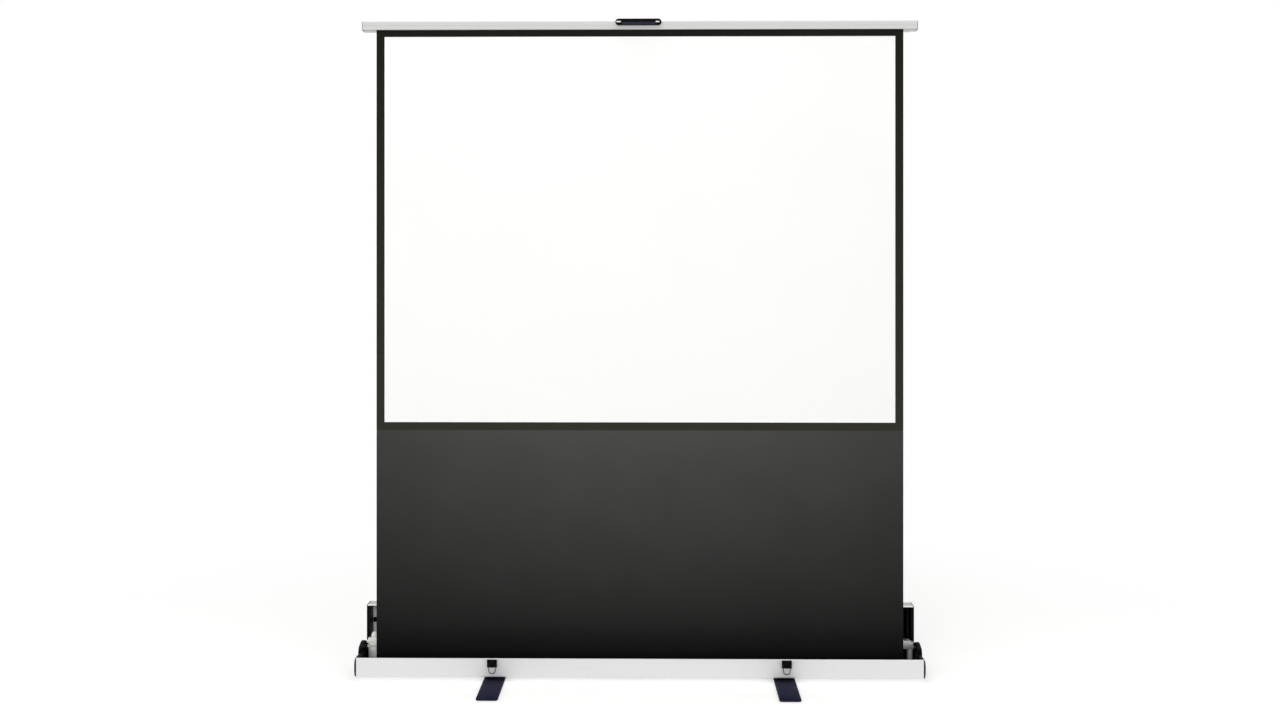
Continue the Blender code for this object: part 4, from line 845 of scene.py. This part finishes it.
def face_places(piece):
    """Middles of a piece's faces, the faces, and which of them close its ends."""
    faces = piece.data.polygons
    middle, normal = np.zeros(3 * len(faces), np.float32), np.zeros(3 * len(faces), np.float32)
    faces.foreach_get("center", middle)
    faces.foreach_get("normal", normal)
    return middle.reshape(-1, 3), faces, np.abs(normal.reshape(-1, 3)[:, 0]) > 0.5


def cloth_piece(name, across, up, front, thickness, shift, finish, body, replaces, zone):
    """Thin closed sheet in the picture's plane.

    The front face is the grid of (across, up) at front + shift(x, z), and the back lies one thickness behind.
    zone gives each front cell's material from its middle; the back and the rims have the last material.
    """
    x, z = np.meshgrid(across, up)
    y = front + shift(x, z)
    rows, columns = x.shape
    face = np.stack([x, y, z], -1).reshape(-1, 3)
    back = face + np.array([0, thickness, 0])
    index = np.arange(rows * columns).reshape(rows, columns)
    near = np.stack([index[:-1, :-1], index[:-1, 1:], index[1:, 1:], index[1:, :-1]], -1).reshape(-1, 4)
    far = near[:, ::-1] + rows * columns
    rim = np.concatenate([index[0, :-1], index[:-1, -1], index[-1, :0:-1], index[:0:-1, 0]])
    follow = np.roll(rim, -1)
    sides = np.stack([follow, rim, rim + rows * columns, follow + rows * columns], -1)
    mesh = bpy.data.meshes.new(name)
    every = np.concatenate([near, far, sides])
    mesh.from_pydata(np.concatenate([face, back]).tolist(), [], every.tolist())
    middle_x = (x[:-1, :-1] + x[1:, 1:]).reshape(-1) / 2
    middle_z = (z[:-1, :-1] + z[1:, 1:]).reshape(-1) / 2
    kinds = np.full(len(every), len(finish) - 1, np.int32)
    kinds[: len(near)] = zone(middle_x, middle_z)
    mesh.update()
    flat = np.stack(
        [(x - across[0]) / (across[-1] - across[0]), (z - up[0]) / (up[-1] - up[0])], -1
    ).reshape(-1, 2)
    flat = np.concatenate([flat, flat])
    corners = np.zeros(len(mesh.loops), np.int32)
    mesh.loops.foreach_get("vertex_index", corners)
    mesh.uv_layers.new(name="flat").data.foreach_set("uv", flat[corners].astype(np.float32).ravel())
    piece = carried(name, mesh, finish, body, replaces)
    mesh.polygons.foreach_set("material_index", kinds)
    mesh.update()
    return piece


class SCREEN_OT_sheet(bpy.types.Operator):
    """Picture cloth with its printed border, black drop, and the turns left on the roller"""

    bl_idname = "screen.sheet"
    bl_label = "Sheet"

    def execute(self, context):
        picture_low, picture_high = box("picture_sheet")
        border_low, border_high = box("black_border")
        drop_low = low("black_drop")
        seam, thickness = size("seam"), size("cloth")
        # The cloth runs up into the bar's slot.
        top = border_high[2] + 0.0065
        width = border_high[0] - border_low[0]
        left, right = picture_low[0] + INK, picture_high[0] - INK

        def stations(*runs):
            """Rising places from runs of (start, end, count) that meet."""
            return np.unique(np.concatenate([np.linspace(*run) for run in runs]).round(6))

        across = stations((border_low[0], left, 4), (left, right, 109), (right, border_high[0], 4))
        foot, head = picture_low[2], picture_high[2]
        up = stations((border_low[2], foot, 4), (foot, head, 61), (head, top, 4))

        def still(x, z):
            """Hardly waved: the cloth's edges curl forward by a third of a millimetre."""
            return -0.0003 * (np.abs(x) / across[-1]) ** 6

        def picture_or_border(x, z):
            return np.where((np.abs(x) < right) & (z > foot) & (z < head), 0, 1)

        length = top - border_low[2]
        white = white_cloth(width, length)
        border = border_cloth(width, length)
        picture = cloth_piece(
            "picture_cloth", across, up, border_low[1], thickness, still, [white, border, border], "case",
            ("picture_sheet", "black_border"), picture_or_border,
        )
        drop_up = np.linspace(drop_low[2], border_low[2] + seam, 60)
        drop_top = border_low[2]

        def rippled(x, z):
            """Soft upright folds: three sine waves across the cloth, strongest at half height, still at both ends.

            Behind the seam the drop lies just behind the picture cloth.
            """
            share = np.clip((z - drop_low[2]) / (drop_top - drop_low[2]), 0, 1)
            fade = np.sin(np.pi * share) ** 0.8
            wave = (
                0.5 * np.sin(2 * np.pi * x / 0.37 + 0.9)
                + 0.3 * np.sin(2 * np.pi * x / 0.213 + 2.1)
                + 0.2 * np.sin(2 * np.pi * x / 0.131 + 0.3 + 2 * share)
            )
            behind = (thickness + 0.0001) * np.clip((z - drop_top + seam) / seam, 0, 1)
            return behind + size("ripple") * wave * fade

        drop_length = drop_up[-1] - drop_up[0]
        drop = cloth_piece(
            "drop_cloth", np.linspace(border_low[0], border_high[0], 181), drop_up, drop_low[1], thickness,
            rippled, [black_cloth(width, drop_length)], "case", ("black_drop",),
            lambda x, z: np.zeros(len(x)),
        )
        for piece in (picture, drop):
            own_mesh(piece)
        self.wound(width)
        return {"FINISHED"}

    def wound(self, width):
        """Turns of cloth left on the roller: a closed strip between two spirals, carried across the roller.

        The strip's radius grows by 0.52 mm a turn for 1.7 turns.
        """
        bottom, top = box("sheet_on_roller")
        centre = (bottom + top) / 2
        outer = (top[1] - bottom[1]) / 2
        pitch, turns, thickness = 0.00052, 1.7, 0.00042
        first = outer - thickness - pitch * turns
        angle = np.linspace(0, 2 * np.pi * turns, 110) + np.pi
        radius = first + pitch * (angle - np.pi) / (2 * np.pi)
        spiral = np.stack([np.cos(angle), np.sin(angle)], 1)
        outline = np.concatenate([spiral * (radius + thickness)[:, None], (spiral * radius[:, None])[::-1]])
        outline = outline + centre[1:]
        stations = np.linspace(-width / 2, width / 2, 9)
        rows, columns = len(stations), len(outline)
        rings = np.concatenate(
            [
                np.broadcast_to(stations[:, None, None], (rows, columns, 1)),
                np.broadcast_to(outline[None], (rows, columns, 2)),
            ],
            -1,
        )
        strip = np.arange(columns // 2 - 1)
        end = np.stack([strip, columns - 1 - strip, columns - 2 - strip, strip + 1], 1)
        far = end[:, ::-1] + (rows - 1) * columns
        shape = (rings.reshape(-1, 3), [*ring_faces(rows, columns), *end.tolist(), *far.tolist()])
        finish = "black coated cloth on the roller"
        piece = new_piece("wound_cloth", shape, finish, "roller", ("sheet_on_roller",))


class SCREEN_OT_top_bar(bpy.types.Operator):
    """Top bar with its groove for the cloth, its end caps, and the pull handle with its fixings"""

    bl_idname = "screen.top_bar"
    bl_label = "Top bar"

    def execute(self, context):
        bottom, top = box("top_bar")
        front, back, base, head = bottom[1], top[1], bottom[2], top[2]
        cloth = low("picture_sheet")[1]
        lip, slot = base + 0.0035, base + 0.0085
        outline = rounded(
            [
                (front, lip, 0.0008), (cloth - 0.001, lip, 0.0003), (cloth - 0.001, slot, 0.0003),
                (cloth + 0.0018, slot, 0.0003), (cloth + 0.0018, base, 0.0006), (back, base, 0.003),
                (back, head, 0.003), (front, head, 0.004), (front, head - 0.013, 0.0006),
                (front + 0.0008, head - 0.0138, 0.0006), (front + 0.0008, lip + 0.004, 0.0006),
                (front, lip + 0.0032, 0.0006),
            ]
        )
        new_piece(
            "top_bar_extrusion", slab(outline, bottom[0], top[0], CUT, "X", 1),
            "anodised extruded aluminium, bar", "top_bar", ("top_bar",),
        )
        for side, _ in SIDES:
            softened(f"bar_cap_{side}", "grey moulded ABS", 0.0007)
        self.handle()
        return {"FINISHED"}

    def handle(self):
        """Pill-shaped black grip with a rounded navy lip along its lower half, its lighter navy painted light, and a
        bright stud at each end.
        """
        bottom, top = box("pull_handle")
        radius = (top[2] - bottom[2]) / 2
        left = bottom[0] - GRIP
        outline = box_outline(left, top[0], bottom[2], top[2], radius - 0.0001, 12)
        new_piece(
            "pull_handle_body", slab(outline, bottom[1] + 0.0012, top[1], 0.004, "Y", 6), "black moulded ABS",
            "top_bar", ("pull_handle",),
        )
        # The lip's lighter navy is painted light.
        lip = box_outline(left + 0.020, top[0] - 0.018, bottom[2] + 0.0012, bottom[2] + 0.0102, 0.0044, 10)
        new_piece(
            "pull_handle_lip", slab(lip, bottom[1], top[1] - 0.003, 0.003, "Y", 6), "rubbed navy moulded ABS",
            "top_bar",
        )
        middle = (top[2] + bottom[2]) / 2
        studs = []
        for centre, reach in ((left + 0.0105, 0.0075), (top[0] - 0.0125, 0.0065)):
            oval = box_outline(centre - reach, centre + reach, middle - 0.0022, middle + 0.0026, 0.0023, 8)
            studs.append(slab(oval, bottom[1] - 0.0004, bottom[1] + 0.004, 0.0018, "Y", 5))
        new_piece("pull_handle_studs", joined(*studs), "polished chromed steel", "top_bar")


class SCREEN_OT_arms(bpy.types.Operator):
    """Folding arms, their pivots' heads, the brackets on the top bar and the pedestals"""

    bl_idname = "screen.arms"
    bl_label = "Arms"

    def execute(self, context):
        for side, sign in SIDES:
            softened(f"lower_arm_{side}", surface("drawn aluminium bar", LEAN * sign), 0.0009)
            softened(f"upper_arm_{side}", surface("drawn aluminium bar", -LEAN * sign), 0.0009)
            softened(f"bar_bracket_{side}", "blasted cast aluminium", 0.0005)
            finish_nodes([f"{pin}_pin_{side}" for pin in ("base", "knee", "top")], "zinc plated steel")
            self.heads(side)
        self.left_pedestal()
        self.right_pedestal()
        return {"FINISHED"}

    def left_pedestal(self):
        """Round stem with a collar, a flange and a plate across it, and a coned knob on top."""
        node = "arm_pedestal_left"
        bottom, top = box(node)
        depth = (bottom[1] + top[1]) / 2
        pivot = (low("base_pin_left") + high("base_pin_left")) / 2
        outer, level = bottom[0], pivot[2]
        half = (top[1] - bottom[1]) / 2

        def post(radius, start, end, edge):
            """Oval post with rounded rims, twice as wide as it is deep."""
            turn = np.linspace(0, np.pi / 2, 5)
            rise = radius - edge + edge * np.sin(turn)
            lower = np.stack([rise, start + edge - edge * np.cos(turn)], 1)
            upper = np.stack([rise[::-1], end - edge + edge * np.cos(turn[::-1])], 1)
            points, faces = turned([(0, start), *lower, *upper, (0, end)], "Z", 56)
            return points * (2, 1, 1) + (outer + 0.0265, depth, 0), faces

        def plank(start, end, reach, base, head, radius, edge):
            """Rounded bar across the pedestal."""
            return slab(box_outline(start, end, base, head, radius), depth - reach, depth + reach, edge, "Y", 4)

        knob = turned(
            [
                (0, level + 0.011), (0.0085, level + 0.011), (0.0085, level + 0.0130), (0.0092, level + 0.0136),
                (0.0095, level + 0.0146), (0.0095, level + 0.0222), (0.0086, level + 0.0234),
                (0.0058, level + 0.0298), (0.0046, level + 0.0306), (0, level + 0.0308),
            ],
            "Z", 40,
        )
        new_piece(
            f"{node}_post",
            joined(
                post(0.0116, bottom[2], level - 0.0162, 0.0002),
                post(0.0120, level - 0.0165, level - 0.0015, 0.0008),
            ),
            "aluminium flake lacquer", "case", (node,),
        )
        new_piece(
            f"{node}_flange", plank(outer, top[0], half, level - 0.0017, level + 0.0057, 0.0018, 0.0008),
            "pale powder coat on cast aluminium", "case",
        )
        new_piece(
            f"{node}_knob",
            joined(
                plank(
                    outer + 0.0028, top[0] - 0.003, half - 0.0026, level + 0.0058, level + 0.0116, 0.0012, 0.0007
                ),
                repeated(knob, [(outer + 0.0225, depth, 0)]),
            ),
            "off-white moulded nylon", "case",
        )

    def right_pedestal(self):
        """Cast block with a stepped shoulder on a round leg."""
        node = "arm_pedestal_right"
        bottom, top = box(node)
        depth = (bottom[1] + top[1]) / 2
        pivot = (low("base_pin_right") + high("base_pin_right")) / 2
        outer, head, level = top[0], top[2], pivot[2]
        end = outer + 0.0028
        block = rounded(
            [
                (bottom[0], level - 0.022, 0.0015), (end, level - 0.022, 0.0015), (end, level - 0.0010, 0.0012),
                (outer - 0.006, level - 0.0005, 0.0004), (outer - 0.0068, level + 0.0060, 0.001),
                (pivot[0] + 0.014, level + 0.0060, 0.001), (pivot[0] + 0.010, head, 0.001),
                (bottom[0], head, 0.003),
            ]
        )
        stem, seat = 0.0092, level - 0.021
        leg = turned([(0, bottom[2]), (stem, bottom[2]), (stem, seat), (0, seat)], "Z", 32)
        leg = repeated(leg, [(outer - 0.0068, depth, 0)])
        new_piece(f"{node}_leg", leg, "aluminium flake lacquer", "case")
        new_piece(
            f"{node}_cast", slab(block, bottom[1], top[1], 0.0010, "Y", 4), "blasted cast aluminium", "case",
            (node,),
        )

    def heads(self, side):
        """Flat domed heads on the ends of the three pins."""
        for pin, body, ends in (
            ("knee", f"lower_arm_{side}", (-1, 1)), ("top", "top_bar", (1,)), ("base", "case", (-1, 1)),
        ):
            bottom, top = box(f"{pin}_pin_{side}")
            centre = (bottom + top) / 2
            shapes = []
            for end in ends:
                place = (centre[0], (top if end > 0 else bottom)[1], centre[2])
                rise = 0.0016 if pin == "base" and end > 0 else 0.0005
                shapes.append(repeated(rivet(0.0072, rise, "Y", end), [place]))
            new_piece(f"{pin}_pin_heads_{side}", joined(*shapes), "zinc plated steel", body)


class SCREEN_OT_latches(bpy.types.Operator):
    """Toggle latches, their wire bails, and the catches on the lid"""

    bl_idname = "screen.latches"
    bl_label = "Latches"

    def execute(self, context):
        for side, _ in SIDES:
            softened(f"latch_base_{side}", "black moulded ABS", 0.0006)
            self.lever(side)
            self.bail(side)
            softened(f"lid_catch_{side}", "zinc plated steel", 0.0003)
        return {"FINISHED"}

    def lever(self, side):
        """Lever, narrower at its lower end, with a rolled finger lip and its trunnion."""
        node = f"latch_lever_{side}"
        bottom, top = box(node)
        centre = (bottom[0] + top[0]) / 2
        half, front, back = 0.0086, bottom[1], top[1]
        foot, head = bottom[2], top[2]
        outline = rounded(
            [
                (centre - half + 0.0022, foot, 0.002), (centre + half - 0.0022, foot, 0.002),
                (centre + half, foot + 0.0055, 0.003), (centre + half, head, 0.0012),
                (centre - half, head, 0.0012), (centre - half, foot + 0.0055, 0.003),
            ]
        )

        def rod(start, end, depth, level, radius):
            """Round rod across the lever."""
            return tube(np.linspace((start, depth, level), (end, depth, level), 3), radius, (0, 0, 1))

        axle = rod(bottom[0], top[0], (front + back) / 2, head - 0.003, 0.0015)
        lip = rod(centre - half + 0.003, centre + half - 0.003, front + 0.0004, foot + 0.0022, 0.0013)
        shape = joined(slab(outline, front, back, 0.0014, "Y", 5), axle, lip)
        new_piece(f"{node}_shaped", shape, "black moulded ABS", node, (node,))

    def bail(self, side):
        """Wire loop: two straight legs, a half-round bow below, and a straight bar through the lever above."""
        node = f"latch_bail_{side}"
        bottom, top = box(node)
        wire = (top[1] - bottom[1]) / 2
        centre = (bottom + top) / 2
        reach = (top[0] - bottom[0]) / 2 - wire
        bow = np.linspace(np.pi, 2 * np.pi, 25)
        low_z, high_z = bottom[2] + wire + reach, top[2] - wire
        corner = 0.003
        bend = np.linspace(0, np.pi / 2, 7)
        along, aside = corner * np.cos(bend), corner * np.sin(bend)
        x = np.concatenate([reach * np.cos(bow), reach - corner + along, corner - reach - aside])
        z = np.concatenate([low_z + reach * np.sin(bow), high_z - corner + aside, high_z - corner + along])
        path = np.stack([centre[0] + x, np.full(len(x), centre[1]), z], 1)
        shape = tube(path, wire, (0, 1, 0), 12, True)
        new_piece(f"{node}_wire", shape, "black oxide steel", node, (node,), 60)


class SCREEN_OT_feet(bpy.types.Operator):
    """Swivel feet with their bosses, rubber pads and studs"""

    bl_idname = "screen.feet"
    bl_label = "Feet"

    def execute(self, context):
        plastic = case_shaded_foot_plastic()
        for side, _ in SIDES:
            node = f"foot_{side}"
            bottom, top = box(node)
            centre = (bottom + top) / 2
            blade = top[2] - 0.0052
            outline = box_outline(bottom[0], top[0], bottom[1], top[1], 0.009, 10)
            boss = [
                (0, blade - 0.003), (0.032, blade - 0.003), (0.032, blade), (0.0295, blade + 0.0006),
                (0.028, blade + 0.0022), (0.028, top[2] - 0.0008), (0.0272, top[2]), (0, top[2]),
            ]
            boss = repeated(turned(boss, "Z", 48), [(centre[0], centre[1], 0)])
            shape = joined(slab(outline, bottom[2], blade, size("foot_edge"), "Z", 6), boss)
            new_piece(f"{node}_blade", shape, plastic, node, (node,))
            for end in ("front", "rear"):
                softened(f"foot_pad_{side}_{end}", "black moulded rubber", 0.0003)
            finish_nodes((f"foot_bolt_{side}",), "zinc plated steel")
        return {"FINISHED"}


class SCREEN_OT_carry_handle(bpy.types.Operator):
    """Carrying handle on the lid, with its plate and rivets"""

    bl_idname = "screen.carry_handle"
    bl_label = "Carrying handle"

    def execute(self, context):
        softened("handle_plate", "zinc plated steel", 0.0004)
        bottom, top = box("carry_handle")
        wire = (top[2] - bottom[2]) / 2
        level = (top[2] + bottom[2]) / 2
        near, far = bottom[1] + wire, top[1] - wire
        half = 0.075
        corner = 0.010
        turn = np.linspace(0, np.pi / 2, 9)
        bend = 0.005
        x = np.concatenate([[top[0]], half + bend - bend * np.sin(turn), half - corner + corner * np.cos(turn)])
        y = np.concatenate([[near], near + bend - bend * np.cos(turn), far - corner + corner * np.sin(turn)])
        middle = np.linspace(half - corner, 0, 12)[1:]
        x = np.concatenate([x, middle])
        y = np.concatenate([y, np.full(len(middle), far)])
        x = np.concatenate([x, -x[-2::-1]])
        y = np.concatenate([y, y[-2::-1]])
        # The grip swells by half its wire's radius over the middle 90 mm.
        swell = wire * (1 + 0.5 * np.exp(-((x / 0.045) ** 6)) * (y > far - 0.001))
        path = np.stack([x, y, np.full(len(x), level)], 1)
        new_piece(
            "carry_handle_grip", tube(path, swell, (0, 0, 1), 16), "black moulded ABS", "carry_handle",
            ("carry_handle",), 60,
        )
        plate_low, plate_high = box("handle_plate")
        depth = (plate_low[1] + plate_high[1]) / 2
        places = [(x, depth, plate_low[2] + 0.0016) for x in (-0.068, -0.034, 0.034, 0.068)]
        rivets = repeated(rivet(0.003, 0.001, "Z", 1), places)
        new_piece("handle_plate_rivets", rivets, "zinc plated steel", "lid")
        return {"FINISHED"}


class SCREEN_OT_roller(bpy.types.Operator):
    """Finishes of the roller, its spring and its brackets"""

    bl_idname = "screen.roller"
    bl_label = "Roller"

    def execute(self, context):
        finish_nodes(("roller_tube",), "mill finish aluminium")
        finish_nodes(("roller_plug_left", "roller_plug_right"), "black moulded ABS")
        finish_nodes(("roller_arbor", "roller_spring"), "zinc plated steel")
        for side, _ in SIDES:
            softened(f"roller_bracket_{side}", "zinc plated steel", 0.0004)
        return {"FINISHED"}


class SCREEN_OT_stage(bpy.types.Operator):
    """Pale floor, soft lamps, white surroundings and the camera"""

    bl_idname = "screen.stage"
    bl_label = "Stage"

    def execute(self, context):
        stage = context.scene.screen_stage
        self.floor()
        self.room(stage.ambient)
        for name, place, aim, across, watts in (
            ("lamp_left", (-3.2, -4.2, 1.8), (-0.1, 0, 0.9), 2.6, stage.key),
            ("lamp_right", (3.2, -4.2, 1.8), (0.1, 0, 0.9), 2.6, stage.key),
            ("lamp_front", (-0.6, -4.7, 2.0), (0, 0, 0.9), 1.5, stage.front),
            ("lamp_top", (0.0, -0.6, 4.6), (0, 0, 0.6), 2.4, stage.top),
        ):
            self.lamp(name, place, aim, across, watts)
        self.camera(stage)
        scene = context.scene
        scene.view_settings.view_transform = "Standard"
        return {"FINISHED"}

    def seen(self, owner):
        """1 where the camera, a mirror or a clear surface looks, and 1 where a mirror looks."""
        glossy = add(owner, "LightPath", {}, "Is Glossy Ray")
        rays = glossy.node.outputs
        either = add(owner, "Math", {0: rays["Is Camera Ray"], 1: glossy}, operation="MAXIMUM")
        return add(owner, "Math", {0: either, 1: rays["Is Transmission Ray"]}, operation="MAXIMUM"), glossy

    def floor(self):
        """Wide pale floor. To the camera it glows a little and fades to plain white away from the object."""
        reach = 40.0
        corners = [(-reach, -reach, 0), (reach, -reach, 0), (reach, reach, 0), (-reach, reach, 0)]
        mesh = bpy.data.meshes.new("floor")
        mesh.from_pydata(corners, [], [(0, 1, 2, 3)])
        floor = bpy.data.objects.new("floor", mesh)
        bpy.context.scene.collection.objects.link(floor)
        material = blank(bpy.data.materials.new("pale matt floor"))
        seen, glossy = self.seen(material)
        place = add(material, "TexCoord", {}, "Object")
        away = add(material, "VectorMath", {0: place}, "Value", operation="LENGTH")
        # It turns white between 1.3 m and 2.6 m from the object.
        ends = {"From Min": 1.3, "From Max": 2.6}
        fade = add(material, "MapRange", {"Value": away, **ends}, interpolation_type="SMOOTHSTEP")
        paint = add(material, "BsdfDiffuse", {"Color": (*linear("ECECEA"), 1)})
        # Its glow is 0.42 to the camera and a little less in a mirror.
        strength = add(material, "Math", {0: seen, 1: 0.42}, operation="MULTIPLY")
        strength = add(material, "Math", {0: glossy, 1: -0.04, 2: strength}, operation="MULTIPLY_ADD")
        glow = add(material, "Emission", {"Color": (1, 1, 1, 1), "Strength": strength})
        near = add(material, "AddShader", {0: paint, 1: glow})
        white = add(material, "Emission", {"Color": (1, 1, 1, 1), "Strength": 1})
        share = add(material, "Math", {0: seen, 1: fade}, operation="MULTIPLY")
        mixed = add(material, "MixShader", {0: share, 1: near, 2: white})
        add(material, "OutputMaterial", {"Surface": mixed})
        mesh.materials.append(material)

    def room(self, strength):
        """Surroundings: even soft light on matt surfaces, and white to the camera and to glossy surfaces."""
        world = blank(bpy.data.worlds.new("white room"))
        bpy.context.scene.world = world
        seen, glossy = self.seen(world)
        direction = add(world, "TexCoord", {}, "Generated")
        rise = add(world, "SeparateXYZ", {"Vector": direction}, "Z")
        # A mirror sees 0.79 of white at the horizon and 1.2 high above.
        ends = {"From Min": 0.0, "From Max": 0.9, "To Min": 0.79, "To Max": 1.2}
        ceiling = add(world, "MapRange", {"Value": rise, **ends}, interpolation_type="SMOOTHSTEP")
        light, white, mirrored = (
            add(world, "Background", {"Color": (1, 1, 1, 1), "Strength": level}) for level in (strength, 1, ceiling)
        )
        white = add(world, "MixShader", {0: glossy, 1: white, 2: mirrored})
        mixed = add(world, "MixShader", {0: seen, 1: light, 2: white})
        add(world, "OutputWorld", {"Surface": mixed})

    def lamp(self, name, place, aim, across, watts):
        """Square soft lamp at a place, turned to its aim."""
        data = bpy.data.lights.new(name, "AREA")
        data.shape = "SQUARE"
        data.size = across
        data.energy = watts
        lamp = bpy.data.objects.new(name, data)
        lamp.visible_glossy = False
        bpy.context.scene.collection.objects.link(lamp)
        lamp.location = place
        direction = lamp.location - type(lamp.location)(aim)
        lamp.rotation_euler = direction.to_track_quat("Z", "Y").to_euler()

    def camera(self, stage):
        """Level camera in front of the screen, a little round to its right, framed by a vertical shift."""
        data = bpy.data.cameras.new("camera")
        data.lens = stage.lens
        data.sensor_width = 36
        # The horizon lies 100 pixels above the middle of the 1280 pixel wide picture.
        data.shift_y = -100.15 / 1280
        camera = bpy.data.objects.new("camera", data)
        bpy.context.scene.collection.objects.link(camera)
        # 1.6 mm to the right spreads the picture's slight skew evenly between its top and its foot.
        across = stage.distance * math.sin(stage.turn) + 0.0016
        camera.location = (across, -stage.distance * math.cos(stage.turn), stage.height)
        camera.rotation_euler = (math.pi / 2, 0, stage.turn)
        bpy.context.scene.camera = camera


class SCREEN_PT_finish(bpy.types.Panel):
    """Steps of the screen's finish, in their order"""

    bl_idname = "SCREEN_PT_finish"
    bl_label = "Projection screen"
    bl_space_type = "VIEW_3D"
    bl_region_type = "UI"
    bl_category = "Screen"

    def draw(self, context):
        for step in STEPS:
            self.layout.operator(step.bl_idname)
        for group in ("screen_colours", "screen_sizes", "screen_stage"):
            settings = getattr(context.scene, group)
            box = self.layout.box()
            for name in settings.__annotations__:
                box.prop(settings, name)


STEPS = (
    SCREEN_OT_case,
    SCREEN_OT_top_bar,
    SCREEN_OT_arms,
    SCREEN_OT_roller,
    SCREEN_OT_sheet,
    SCREEN_OT_latches,
    SCREEN_OT_feet,
    SCREEN_OT_carry_handle,
    SCREEN_OT_stage,
)
GROUPS = {"screen_colours": ScreenColours, "screen_sizes": ScreenSizes, "screen_stage": ScreenStage}


def register():
    """Add the settings, the steps and the panel to Blender."""
    for name, group in GROUPS.items():
        bpy.utils.register_class(group)
        setattr(bpy.types.Scene, name, bpy.props.PointerProperty(type=group))
    for step in (*STEPS, SCREEN_PT_finish):
        bpy.utils.register_class(step)


def unregister():
    """Take them out again."""
    for step in (SCREEN_PT_finish, *reversed(STEPS)):
        bpy.utils.unregister_class(step)
    for name, group in GROUPS.items():
        delattr(bpy.types.Scene, name)
        bpy.utils.unregister_class(group)


def main():
    """Run every step in order."""
    register()
    for step in STEPS:
        group, name = step.bl_idname.split(".")
        getattr(getattr(bpy.ops, group), name)()


if __name__ == "__main__":
    main()
